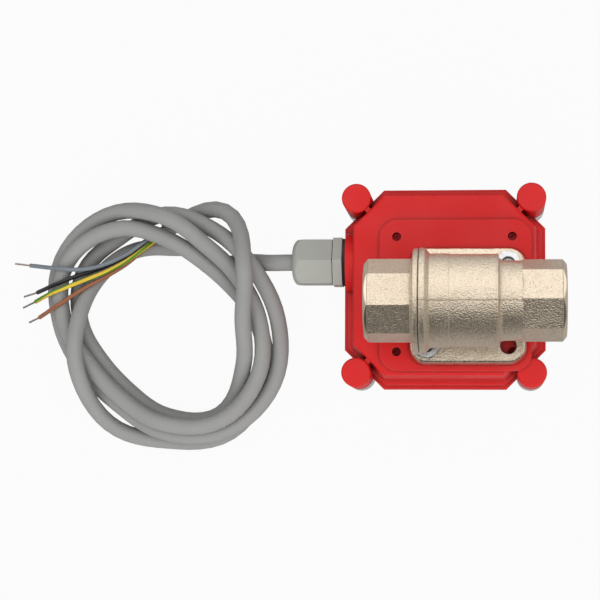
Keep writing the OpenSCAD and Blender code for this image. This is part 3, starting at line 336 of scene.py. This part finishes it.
# Surfaces: each finish is built from patterns in the object's own coordinates, sized in metres
def srgb(r, g, b, a=1.0):
    def linear(v):
        v /= 255
        return v / 12.92 if v <= 0.04045 else ((v + 0.055) / 1.055) ** 2.4

    return (linear(r), linear(g), linear(b), a)


class Finish:
    """A Principled material, built up from named patterns."""

    def __init__(self, name, color, roughness, **sockets):
        self.material = bpy.data.materials.new(name)
        self.material.use_nodes = True
        self.tree = self.material.node_tree
        self.shader = self.tree.nodes["Principled BSDF"]
        self.shader.inputs["Base Color"].default_value = color
        self.shader.inputs["Roughness"].default_value = roughness
        for socket, value in sockets.items():
            self.shader.inputs[socket.replace("_", " ")].default_value = value
        self.place = self.add("ShaderNodeTexCoord").outputs["Object"]
        self.normal = None

    def add(self, kind, **values):
        node = self.tree.nodes.new(kind)
        for name, value in values.items():
            setattr(node, name, value)
        return node

    def link(self, source, target):
        self.tree.links.new(source, target)

    def noise(self, size, detail=3.0, rough=0.5, stretch=(1, 1, 1)):
        """Even noise whose largest spots are about size metres."""
        mapping = self.add("ShaderNodeMapping")
        mapping.inputs["Scale"].default_value = stretch
        self.link(self.place, mapping.inputs["Vector"])
        node = self.add("ShaderNodeTexNoise")
        node.inputs["Scale"].default_value = 1 / size
        node.inputs["Detail"].default_value = detail
        node.inputs["Roughness"].default_value = rough
        self.link(mapping.outputs[0], node.inputs["Vector"])
        return node.outputs["Fac"]

    def cells(self, size, feature="F1"):
        """Distances in a pattern of cells about size metres wide."""
        node = self.add("ShaderNodeTexVoronoi", feature=feature)
        node.inputs["Scale"].default_value = 1 / size
        self.link(self.place, node.inputs["Vector"])
        return node.outputs["Distance"]

    def axis(self, letter):
        split = self.add("ShaderNodeSeparateXYZ")
        self.link(self.place, split.inputs[0])
        return split.outputs["XYZ".index(letter)]

    def math(self, operation, a, b=None):
        node = self.add("ShaderNodeMath", operation=operation)
        for slot, value in enumerate((a, b)):
            if value is None:
                continue
            if isinstance(value, (int, float)):
                node.inputs[slot].default_value = value
            else:
                self.link(value, node.inputs[slot])
        return node.outputs[0]

    def ramp(self, value, low, high, to_low=0.0, to_high=1.0):
        """Maps low..high to to_low..to_high with soft ends."""
        node = self.add("ShaderNodeMapRange", interpolation_type="SMOOTHSTEP")
        for name, number in (("From Min", low), ("From Max", high), ("To Min", to_low), ("To Max", to_high)):
            node.inputs[name].default_value = number
        self.link(value, node.inputs["Value"])
        return node.outputs["Result"]

    def near(self, point, radius):
        """1 at a point of the object, falling to 0 at radius."""
        node = self.add("ShaderNodeVectorMath", operation="DISTANCE")
        node.inputs[1].default_value = point
        self.link(self.place, node.inputs[0])
        return self.ramp(node.outputs["Value"], 0, radius, 1, 0)

    def round_edges(self, radius):
        """Shades sharp edges as if rounded to the radius."""
        node = self.add("ShaderNodeBevel", samples=6)
        node.inputs["Radius"].default_value = radius
        self.normal = node.outputs["Normal"]
        return self

    def edges(self, radius):
        """1 along sharp edges, 0 elsewhere: the mask for painted highlights."""
        bevel = self.add("ShaderNodeBevel", samples=4)
        bevel.inputs["Radius"].default_value = radius
        plain = self.add("ShaderNodeNewGeometry")
        dot = self.add("ShaderNodeVectorMath", operation="DOT_PRODUCT")
        self.link(bevel.outputs["Normal"], dot.inputs[0])
        self.link(plain.outputs["Normal"], dot.inputs[1])
        return self.ramp(dot.outputs["Value"], 0.98, 0.8)

    def shade_in_hollows(self, distance):
        """1 in corners and recesses, 0 in the open: the mask for painted shade."""
        node = self.add("ShaderNodeAmbientOcclusion", samples=6)
        node.inputs["Distance"].default_value = distance
        return self.ramp(node.outputs["AO"], 0.85, 0.3)

    def tint(self, pattern, color):
        """Lays a colour over what is there, where the pattern is 1."""
        mix = self.add("ShaderNodeMix", data_type="RGBA")
        self.link(pattern, mix.inputs["Factor"])
        target = self.shader.inputs["Base Color"]
        if target.is_linked:
            self.link(target.links[0].from_socket, mix.inputs["A"])
        else:
            mix.inputs["A"].default_value = target.default_value
        mix.inputs["B"].default_value = color
        self.link(mix.outputs["Result"], target)
        return self

    def rough(self, pattern, low, high):
        """Lets the roughness follow a pattern, from low to high."""
        self.link(self.ramp(pattern, 0.3, 0.7, low, high), self.shader.inputs["Roughness"])
        return self

    def smoother(self, pattern, amount):
        """Takes amount off the roughness where the pattern is 1."""
        socket = self.shader.inputs["Roughness"]
        taken = self.math("MULTIPLY", pattern, amount)
        self.link(self.math("SUBTRACT", socket.links[0].from_socket, taken), socket)
        return self

    def bump(self, pattern, depth):
        """Raises the surface by depth metres where the pattern is 1."""
        node = self.add("ShaderNodeBump")
        node.inputs["Distance"].default_value = depth
        node.inputs["Strength"].default_value = 1.0
        self.link(pattern, node.inputs["Height"])
        if self.normal is not None:
            self.link(self.normal, node.inputs["Normal"])
        self.normal = node.outputs["Normal"]
        return self

    def done(self):
        if self.normal is not None:
            self.link(self.normal, self.shader.inputs["Normal"])
        return self.material


def red_plastic():
    f = Finish("red_plastic", srgb(216, 16, 18), 0.42, IOR=1.38)
    f.tint(f.ramp(f.noise(0.03), 0.3, 0.7, 0.0, 0.12), srgb(192, 18, 16))
    # Painted shade: dark red in corners and recesses, where shade falls
    f.tint(f.math("MULTIPLY", f.shade_in_hollows(0.003), 0.8), srgb(118, 2, 8))
    # Painted highlight: lighter red along sharp edges
    f.tint(f.ramp(f.edges(0.0007), 0, 1, 0, 0.5), srgb(234, 84, 76))
    f.rough(f.noise(0.012), 0.38, 0.5)
    f.round_edges(0.0005)
    f.bump(f.noise(0.0006, 2), 0.000008)
    f.bump(f.noise(0.012, 1), 0.00004)
    return f.done()


def clear_plastic():
    f = Finish("clear_plastic", srgb(246, 249, 250), 0.04, IOR=1.58, Transmission_Weight=1.0)
    f.rough(f.noise(0.01), 0.02, 0.07)
    f.round_edges(0.0004)
    f.bump(f.noise(0.02, 1), 0.00003)
    return f.done()


def rubber():
    f = Finish("black_rubber", srgb(22, 22, 23), 0.62, IOR=1.5)
    f.tint(f.ramp(f.noise(0.002), 0.45, 0.7, 0, 0.4), srgb(44, 44, 45))
    f.round_edges(0.0003)
    f.bump(f.noise(0.0004, 2), 0.00001)
    return f.done()


def grey_plastic():
    f = Finish("grey_plastic", srgb(170, 172, 165), 0.5, IOR=1.5)
    f.tint(f.ramp(f.noise(0.008), 0.3, 0.7, 0.0, 0.18), srgb(152, 154, 148))
    # Painted highlight: lighter grey along sharp edges
    f.tint(f.ramp(f.edges(0.0008), 0, 1, 0, 0.3), srgb(196, 197, 192))
    f.rough(f.noise(0.003), 0.45, 0.56)
    f.round_edges(0.0006)
    f.bump(f.noise(0.0005, 2), 0.00001)
    return f.done()


def cable_sheath():
    f = Finish("cable_sheath", srgb(150, 150, 148), 0.46, IOR=1.45)
    f.tint(f.ramp(f.noise(0.02), 0.35, 0.75, 0.0, 0.22), srgb(132, 132, 131))
    f.tint(f.ramp(f.noise(0.0012, 2), 0.62, 0.8, 0.0, 0.25), srgb(120, 120, 119))
    f.rough(f.noise(0.006), 0.4, 0.54)
    f.bump(f.noise(0.0009, 2), 0.000012)
    f.bump(f.noise(0.009, 1), 0.00006)
    return f.done()


def insulation(name, color, dark):
    f = Finish(name, color, 0.4, IOR=1.5)
    f.tint(f.ramp(f.noise(0.004), 0.35, 0.75, 0.0, 0.35), dark)
    f.bump(f.noise(0.0005, 2), 0.00001)
    return f.done()


def tinned_copper():
    f = Finish("tinned_copper", srgb(200, 188, 182), 0.3, Metallic=1.0)
    f.tint(f.ramp(f.noise(0.0015), 0.45, 0.75, 0.0, 0.5), srgb(176, 138, 112))
    f.rough(f.noise(0.0008), 0.22, 0.42)
    return f.done()


def plated_brass():
    """A nickel-plated blasted casting, turned smooth at its ends and smoother on its flange.

    A dark line marks the joint at the end cap's ring, and one small dent is on top of the body.
    """
    f = Finish("plated_brass", srgb(222, 207, 186), 0.4, Metallic=1.0)
    x = f.axis("X")
    ring_x = STEM.x + BODY_START * MM
    port_end = f.ramp(x, PORT_X - 0.0019, PORT_X - 0.0016)
    cap_end = f.ramp(x, CAP_X + 0.0019, CAP_X + 0.0016)
    groove_start = f.ramp(x, ring_x - 0.00045, ring_x - 0.00015)
    groove_end = f.ramp(x, ring_x + 0.0003, ring_x + 0.0001)
    groove = f.math("MULTIPLY", groove_start, groove_end)
    flange = f.ramp(f.axis("Z"), 0.0518, 0.0512)
    as_cast = f.math("SUBTRACT", 1.0, f.math("ADD", port_end, cap_end))
    cast = f.math("SUBTRACT", as_cast, f.math("MULTIPLY", flange, 0.4))
    specks = f.noise(0.00065, 2, 0.6)
    grain = f.math("ADD", specks, f.math("MULTIPLY", f.cells(0.0007), 0.2))
    f.tint(f.ramp(f.noise(0.012), 0.3, 0.75, 0.0, 0.3), srgb(206, 188, 164))
    f.tint(f.math("MULTIPLY", f.ramp(specks, 0.46, 0.34, 0.0, 0.4), cast), srgb(140, 124, 102))
    # Painted shade: dark brown in corners and recesses, where shade falls
    f.tint(f.math("MULTIPLY", f.shade_in_hollows(0.004), 0.6), srgb(118, 98, 74))
    f.tint(f.math("MULTIPLY", groove, 0.45), srgb(96, 82, 64))
    # Painted highlight: pale cream along sharp edges
    f.tint(f.ramp(f.edges(0.0007), 0, 1, 0, 0.5), srgb(240, 229, 210))
    f.rough(f.noise(0.004), 0.28, 0.36)
    f.smoother(flange, 0.14)
    f.round_edges(0.0006)
    f.bump(f.math("MULTIPLY", grain, cast), 0.0004)
    f.bump(f.math("MULTIPLY", f.noise(0.007, 1), cast), 0.00012)
    dent = (0.0076, -0.0052, 0.0925)
    f.bump(f.near(dent, 0.0011), -0.0002)
    return f.done()


def turned_metal(name, color, dark, roughness=0.28, edge=0.0003):
    f = Finish(name, color, roughness, Metallic=1.0)
    f.tint(f.ramp(f.noise(0.003), 0.4, 0.75, 0.0, 0.35), dark)
    f.rough(f.noise(0.0015), roughness - 0.06, roughness + 0.1)
    f.round_edges(edge)
    f.bump(f.noise(0.0006, 2, 0.5, (1, 1, 6)), 0.00001)
    return f.done()


def bolt_thread():
    """Plated steel with the ridges of an M6 thread around Z."""
    f = Finish("bolt_thread", srgb(206, 208, 210), 0.3, Metallic=1.0)
    height = f.math("DIVIDE", f.axis("Z"), MM)
    saw = f.math("PINGPONG", height, 0.5)
    # Painted shade: darker grey in the thread's roots
    f.tint(f.ramp(saw, 0.3, 0.05, 0.0, 0.5), srgb(120, 120, 122))
    f.rough(f.noise(0.0015), 0.24, 0.4)
    f.bump(saw, 0.0008)
    return f.done()


def brushed_sheet(name, color, dark):
    f = Finish(name, color, 0.36, Metallic=1.0)
    brushing = (0.06, 1, 1)
    f.tint(f.ramp(f.noise(0.0008, 2, 0.5, brushing), 0.4, 0.7, 0.0, 0.4), dark)
    f.rough(f.noise(0.0008, 2, 0.5, brushing), 0.3, 0.46)
    f.round_edges(0.0002)
    f.bump(f.noise(0.0003, 2, 0.5, (0.04, 1, 1)), 0.000006)
    return f.done()


def moulded(name, color, dark, roughness=0.4):
    f = Finish(name, color, roughness, IOR=1.48)
    f.tint(f.ramp(f.noise(0.005), 0.35, 0.75, 0.0, 0.3), dark)
    f.rough(f.noise(0.002), roughness - 0.06, roughness + 0.08)
    f.round_edges(0.00025)
    f.bump(f.noise(0.0005, 2), 0.000008)
    return f.done()


def solder_mask():
    """A green board whose copper tracks show through the mask as lighter lines."""
    f = Finish("green_board", srgb(22, 92, 48), 0.3, IOR=1.5, Coat_Weight=0.4)
    tracks = f.ramp(f.cells(0.0045, "DISTANCE_TO_EDGE"), 0.1, 0.06)
    f.tint(f.math("MULTIPLY", tracks, 0.7), srgb(64, 140, 80))
    f.tint(f.ramp(f.noise(0.002), 0.4, 0.8, 0.0, 0.3), srgb(14, 66, 36))
    f.round_edges(0.0002)
    f.bump(tracks, 0.00003)
    return f.done()


# One finish for each material slot of the parts; the sunken black screws are painted dark red, a painted
# reflection of the red plastic around them and painted shade of their recesses
finishes = {
    "red_plastic": red_plastic(),
    "clear_plastic": clear_plastic(),
    "black_rubber": rubber(),
    "grey_plastic": grey_plastic(),
    "cable_sheath": cable_sheath(),
    "wire_grey": insulation("wire_grey", srgb(122, 130, 138), srgb(100, 108, 116)),
    "wire_black": insulation("wire_black", srgb(24, 22, 28), srgb(40, 38, 44)),
    "wire_yellow": insulation("wire_yellow", srgb(222, 190, 44), srgb(200, 164, 30)),
    "wire_green": insulation("wire_green", srgb(84, 140, 26), srgb(66, 116, 22)),
    "wire_brown": insulation("wire_brown", srgb(150, 93, 62), srgb(126, 72, 48)),
    "tinned_copper": tinned_copper(),
    "plated_brass": plated_brass(),
    "bare_brass": turned_metal("bare_brass", srgb(214, 172, 84), srgb(178, 134, 58), 0.3),
    "polished_chrome": turned_metal("polished_chrome", srgb(226, 226, 228), srgb(204, 204, 208), 0.14),
    "plated_steel": turned_metal("plated_steel", srgb(206, 208, 210), srgb(170, 172, 176), 0.26),
    "turned_steel": turned_metal("turned_steel", srgb(172, 172, 174), srgb(140, 140, 144), 0.3),
    # Painted reflection and shade: black screws coloured dark red by the red plastic around them
    "black_steel": turned_metal("black_steel", srgb(128, 34, 36), srgb(84, 20, 24), 0.46),
    "bolt_thread": bolt_thread(),
    "screw_steel": turned_metal("screw_steel", srgb(192, 194, 198), srgb(154, 156, 160), 0.3),
    "motor_metal": brushed_sheet("motor_metal", srgb(196, 196, 192), srgb(168, 168, 164)),
    "sheet_aluminium": brushed_sheet("sheet_aluminium", srgb(208, 209, 211), srgb(180, 181, 184)),
    "white_plastic": moulded("white_plastic", srgb(236, 231, 214), srgb(220, 214, 194)),
    "black_plastic": moulded("black_plastic", srgb(30, 30, 32), srgb(48, 48, 50)),
    "green_plastic": moulded("green_plastic", srgb(48, 128, 78), srgb(36, 104, 62)),
    "green_board": solder_mask(),
}

slot_of = {part["node"]: part["material_slot"] for part in frame["record"]["subparts"]}
for node_name, obj in nodes.items():
    finish = finishes[slot_of[node_name]]
    if not obj.material_slots:
        obj.data.materials.append(finish)
    for material_slot in obj.material_slots:
        material_slot.material = finish
cable.data.materials.append(finishes["cable_sheath"])
sheath_end.data.materials.append(finishes["cable_sheath"])
for slot_name in CORE_COLOURS:
    inner_cores.data.materials.append(finishes[slot_name])
nodes["flange_bolts"].material_slots[0].material = finishes["bolt_thread"]

# The earth wire is yellow, with a green stripe on two sides
for name, wire in wire_objects.items():
    wire.data.materials.append(finishes["wire_yellow" if name == "green_yellow" else "wire_" + name])
wire_objects["green_yellow"].data.materials.append(finishes["wire_green"])


# Shapes that the solids leave out
def mesh_piece(name, build, finish_name, smooth_faces=True):
    """Makes an object from a function that fills a bmesh, and lets it ride on the housing."""
    mesh = bpy.data.meshes.new(name)
    bm = bmesh.new()
    build(bm)
    bmesh.ops.recalc_face_normals(bm, faces=bm.faces)
    bm.to_mesh(mesh)
    bm.free()
    mesh.materials.append(finishes[finish_name])
    for polygon in mesh.polygons:
        polygon.use_smooth = smooth_faces
    obj = bpy.data.objects.new(name, mesh)
    bpy.context.scene.collection.objects.link(obj)
    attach(obj, "housing")
    return obj


# Stripped ends: seven tinned strands twisted together, in millimetres
STRAND_R = 0.17
STRAND_LAY = 5.0
STRAND_SPREAD = 0.31
STRAND_HIDDEN = 0.6


def strands(bm):
    steps = 14
    for start, end in tip_runs.values():
        way = (end - start).normalized()
        across = way.cross(Vector((0, 0, 1))).normalized()
        rise = across.cross(way)
        start = start - way * STRAND_HIDDEN
        length = (end - start).length
        for strand in range(7):
            points = []
            for i in range(steps + 1):
                along = length * i / steps
                spread = 0.0 if strand == 0 else STRAND_SPREAD + 0.05 * math.sin(strand * 2.3) * i / steps
                turn = strand * math.pi / 3 + 2 * math.pi * along / STRAND_LAY
                p = start + way * along + (across * math.cos(turn) + rise * math.sin(turn)) * spread
                points.append(p * MM)
            sweep(bm, tube_rings(points, STRAND_R * MM, 6))


tips = mesh_piece("wire_tips_strands", strands, "tinned_copper")
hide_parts("wire_tips")


# Parting line of the casting: a thin flash along the top of the body, in millimetres from the stem
BODY_STATIONS = [
    (BODY_START, 21.2), (-18.9, 21.6), (-17.2, 21.6), (-16.7, 21.4), (-15.5, 19.7), (-15.0, 19.35),
    (-7.1, 19.25), (-6.8, 19.0), (11.8, 19.0), (12.1, 19.2), (12.8, 18.8), (12.95, 18.2),
    (13.4, 17.2), (14.0, 16.75), (14.7, 16.5), (15.5, 16.4), (22.4, 16.25),
]
SEAM_START = -19.2
SEAM_END = 22.3
SEAM_TURN = math.radians(3.2)


def body_radius(x):
    """Radius of the cast body at x."""
    for (x0, r0), (x1, r1) in zip(BODY_STATIONS, BODY_STATIONS[1:]):
        if x <= x1:
            return r0 + (r1 - r0) * (x - x0) / (x1 - x0)
    return BODY_STATIONS[-1][1]


def parting_line(bm):
    rings = []
    steps = 110
    for i in range(steps + 1):
        x = SEAM_START + (SEAM_END - SEAM_START) * i / steps
        wander = 0.10 * math.sin(x * 1.7) + 0.07 * math.sin(x * 4.1 + 1)
        height = 0.10 + 0.05 * math.sin(x * 2.9) + 0.03 * math.sin(x * 7.3)
        r = body_radius(x)
        ring = []
        for across, up in ((-0.32, -0.15), (-0.16, height * 0.8), (0.14, height), (0.34, -0.15)):
            turn = SEAM_TURN - (across + wander) / r
            rise = (r + up) * MM
            ring.append(STEM + Vector((x * MM, -math.sin(turn) * rise, math.cos(turn) * rise)))
        rings.append(ring)
    sweep(bm, rings)


mesh_piece("casting_seam", parting_line, "plated_brass")


# Pipe threads: a helical ridge in each port, in millimetres
THREAD_PITCH = 1.814
THREAD_ROOT_R = 13.25
THREAD_CREST_R = 12.15
THREAD_TURNS = 6.6
THREAD_START = 1.7
STEPS_PER_TURN = 48
FADE_STEPS = 20


def port_thread(bm, mouth_x, way):
    steps = int(THREAD_TURNS * STEPS_PER_TURN)
    rings = []
    for i in range(steps + 1):
        fade = min(1.0, i / FADE_STEPS, (steps - i) / FADE_STEPS)
        depth = (THREAD_ROOT_R - THREAD_CREST_R) * fade + 0.02
        x = mouth_x / MM - way * (THREAD_START + THREAD_PITCH * i / STEPS_PER_TURN)
        turn = 2 * math.pi * i / STEPS_PER_TURN * way
        ring = []
        for along, inward in ((-0.86, -0.12), (-0.2, depth), (0.2, depth), (0.86, -0.12)):
            r = (THREAD_ROOT_R - inward) * MM
            ring.append(Vector(((x + along) * MM, STEM.y + math.cos(turn) * r, STEM.z + math.sin(turn) * r)))
        rings.append(ring)
    sweep(bm, rings)


mesh_piece("port_cast_thread", lambda bm: port_thread(bm, PORT_X, 1), "plated_brass")
mesh_piece("port_cap_thread", lambda bm: port_thread(bm, CAP_X, -1), "plated_brass")


# Chip parts on top of the circuit board, and solder joints below: millimetres from the board's corner
BOARD_THICK = 1.6
CHIP_EDGE = 0.15
CHIPS = [
    (3, 9, 3.2, 1.6, 1.1), (3, 12.5, 3.2, 1.6, 1.1), (15, 3, 1.6, 3.2, 1.1), (18.5, 3, 1.6, 3.2, 1.1),
    (9, 13, 2, 1.3, 0.9), (9, 16, 2, 1.3, 0.9), (16, 21.4, 5, 2.4, 1.6),
]
JOINT_R = 0.75
JOINT_TIP_R = 0.04
LIFT = 0.02


def box_with_edges(bm, low, size, edge):
    """A box with bevelled edges."""
    made = bmesh.ops.create_cube(bm, size=1)
    for v in made["verts"]:
        v.co = low + Vector(((v.co.x + 0.5) * size.x, (v.co.y + 0.5) * size.y, (v.co.z + 0.5) * size.z))
    edges = {e for v in made["verts"] for e in v.link_edges}
    bmesh.ops.bevel(bm, geom=list(edges), offset=edge, segments=2, affect="EDGES", profile=0.6)


def chip_parts(bm):
    """Each chip has its place on the board, X and Y, and its length, width and height."""
    for x, y, length, width, height in CHIPS:
        low = board_low + Vector((x, y, BOARD_THICK + LIFT)) * MM
        box_with_edges(bm, low, Vector((length, width, height)) * MM, CHIP_EDGE * MM)


mesh_piece("board_chips", chip_parts, "black_plastic", smooth_faces=False)


def solder_joints(bm):
    """Three rows of joints, each joint half a ball."""
    places = [(13 + 2.2 * k, 4.5) for k in range(5)] + [(12 + 2.4 * k, 22.5) for k in range(4)]
    places += [(20.5 + 1.8 * k, 10 + 2.5 * k) for k in range(3)]
    around = [k * math.pi / 6 for k in range(12)]
    for x, y in places:
        rings = []
        for k in range(6):
            turn = k / 5 * math.pi / 2
            r = JOINT_R * math.cos(turn) + JOINT_TIP_R
            z = LIFT - JOINT_R * math.sin(turn)
            ring = [Vector((x + r * math.cos(a), y + r * math.sin(a), z)) for a in around]
            rings.append([board_low + p * MM for p in ring])
        sweep(bm, rings)


mesh_piece("board_solder", solder_joints, "tinned_copper")


# Floor, surroundings and lamp. The floor keeps the shadow, and looks white to the camera and through clear
# plastic by its share of white for each kind of ray. Sizes are in metres.
FLOOR_HALF = 3.0
FLOOR_DROP = 0.0002
FLOOR_GREY = 0.38
WHITE_SHARES = [("Is Camera Ray", 0.95), ("Is Transmission Ray", 0.95), ("Is Glossy Ray", 0.18)]

# The room's brightness by the cosine of the angle to a direction: what matt surfaces get, and what shines
ROOM_WAY = (0.15, -0.85, 0.5)
ROOM_LEVELS = [(-0.6, 0.45), (0.0, 0.7), (0.5, 1.12), (0.95, 2.1)]
SHINE_WAY = (0, -0.96, 0.28)
SHINE_LEVELS = [(-0.95, 2.4), (-0.6, 1.7), (-0.1, 1.2), (0.28, 0.92), (0.55, 0.5), (0.76, 0.06), (1.0, 0.02)]


def floor():
    mesh = bpy.data.meshes.new("floor")
    corners = [(x * FLOOR_HALF, y * FLOOR_HALF, 0) for x, y in ((-1, -1), (1, -1), (1, 1), (-1, 1))]
    mesh.from_pydata(corners, [], [(0, 1, 2, 3)])
    obj = bpy.data.objects.new("floor", mesh)
    obj.location.z = -FLOOR_DROP
    bpy.context.scene.collection.objects.link(obj)
    material = bpy.data.materials.new("floor")
    material.use_nodes = True
    tree = material.node_tree
    tree.nodes.clear()
    out = tree.nodes.new("ShaderNodeOutputMaterial")
    matt = tree.nodes.new("ShaderNodeBsdfDiffuse")
    matt.inputs["Color"].default_value = (FLOOR_GREY, FLOOR_GREY, FLOOR_GREY, 1)
    glow = tree.nodes.new("ShaderNodeEmission")
    glow.inputs["Color"].default_value = (1, 1, 1, 1)
    glow.inputs["Strength"].default_value = 1.0
    path = tree.nodes.new("ShaderNodeLightPath")
    share = None
    for ray, part in WHITE_SHARES:
        node = tree.nodes.new("ShaderNodeMath")
        node.operation = "MULTIPLY_ADD"
        tree.links.new(path.outputs[ray], node.inputs[0])
        node.inputs[1].default_value = part
        node.inputs[2].default_value = 0.0
        if share is not None:
            tree.links.new(share.outputs[0], node.inputs[2])
        share = node
    share.use_clamp = True
    mix = tree.nodes.new("ShaderNodeMixShader")
    tree.links.new(share.outputs[0], mix.inputs["Fac"])
    tree.links.new(matt.outputs[0], mix.inputs[1])
    tree.links.new(glow.outputs[0], mix.inputs[2])
    tree.links.new(mix.outputs[0], out.inputs["Surface"])
    mesh.materials.append(material)


def softbox(name, place, target, size, power, color):
    data = bpy.data.lights.new(name, "AREA")
    data.shape = "RECTANGLE"
    data.size, data.size_y = size
    data.energy = power
    data.color = color
    obj = bpy.data.objects.new(name, data)
    obj.location = place
    obj.rotation_euler = (Vector(target) - Vector(place)).to_track_quat("-Z", "Y").to_euler()
    bpy.context.scene.collection.objects.link(obj)


def surroundings():
    """A pale room, white to the camera; what shines sees its own levels, dark low towards -Y."""
    world = bpy.data.worlds.new("room")
    bpy.context.scene.world = world
    world.use_nodes = True
    tree = world.node_tree
    tree.nodes.clear()
    out = tree.nodes.new("ShaderNodeOutputWorld")
    back = tree.nodes.new("ShaderNodeBackground")
    place = tree.nodes.new("ShaderNodeTexCoord")

    def levels(way, stops):
        """Brightness by the angle to a direction; each stop has the angle's cosine and a level."""
        towards = tree.nodes.new("ShaderNodeVectorMath")
        towards.operation = "DOT_PRODUCT"
        towards.inputs[1].default_value = Vector(way).normalized()
        tree.links.new(place.outputs["Generated"], towards.inputs[0])
        unit = tree.nodes.new("ShaderNodeMapRange")
        unit.inputs["From Min"].default_value = -1
        tree.links.new(towards.outputs["Value"], unit.inputs["Value"])
        ramp = tree.nodes.new("ShaderNodeValToRGB")
        while len(ramp.color_ramp.elements) < len(stops):
            ramp.color_ramp.elements.new(0.5)
        for element, (cosine, value) in zip(ramp.color_ramp.elements, stops):
            element.position = (cosine + 1) / 2
            element.color = (value, value, value, 1)
        tree.links.new(unit.outputs["Result"], ramp.inputs["Fac"])
        return ramp.outputs["Color"]

    path = tree.nodes.new("ShaderNodeLightPath")
    shine = tree.nodes.new("ShaderNodeMix")
    tree.links.new(path.outputs["Is Glossy Ray"], shine.inputs["Factor"])
    tree.links.new(levels(ROOM_WAY, ROOM_LEVELS), shine.inputs["A"])
    tree.links.new(levels(SHINE_WAY, SHINE_LEVELS), shine.inputs["B"])
    mix = tree.nodes.new("ShaderNodeMix")
    tree.links.new(path.outputs["Is Camera Ray"], mix.inputs["Factor"])
    tree.links.new(shine.outputs["Result"], mix.inputs["A"])
    mix.inputs["B"].default_value = 1.0
    tree.links.new(mix.outputs["Result"], back.inputs["Strength"])
    tree.links.new(back.outputs[0], out.inputs["Surface"])


floor()
surroundings()
softbox("key", (0.05, 0.15, 1.2), (0, 0, 0.04), (1.3, 1.0), 3.0, (1.0, 0.985, 0.965))
bpy.context.scene.view_settings.view_transform = "Standard"
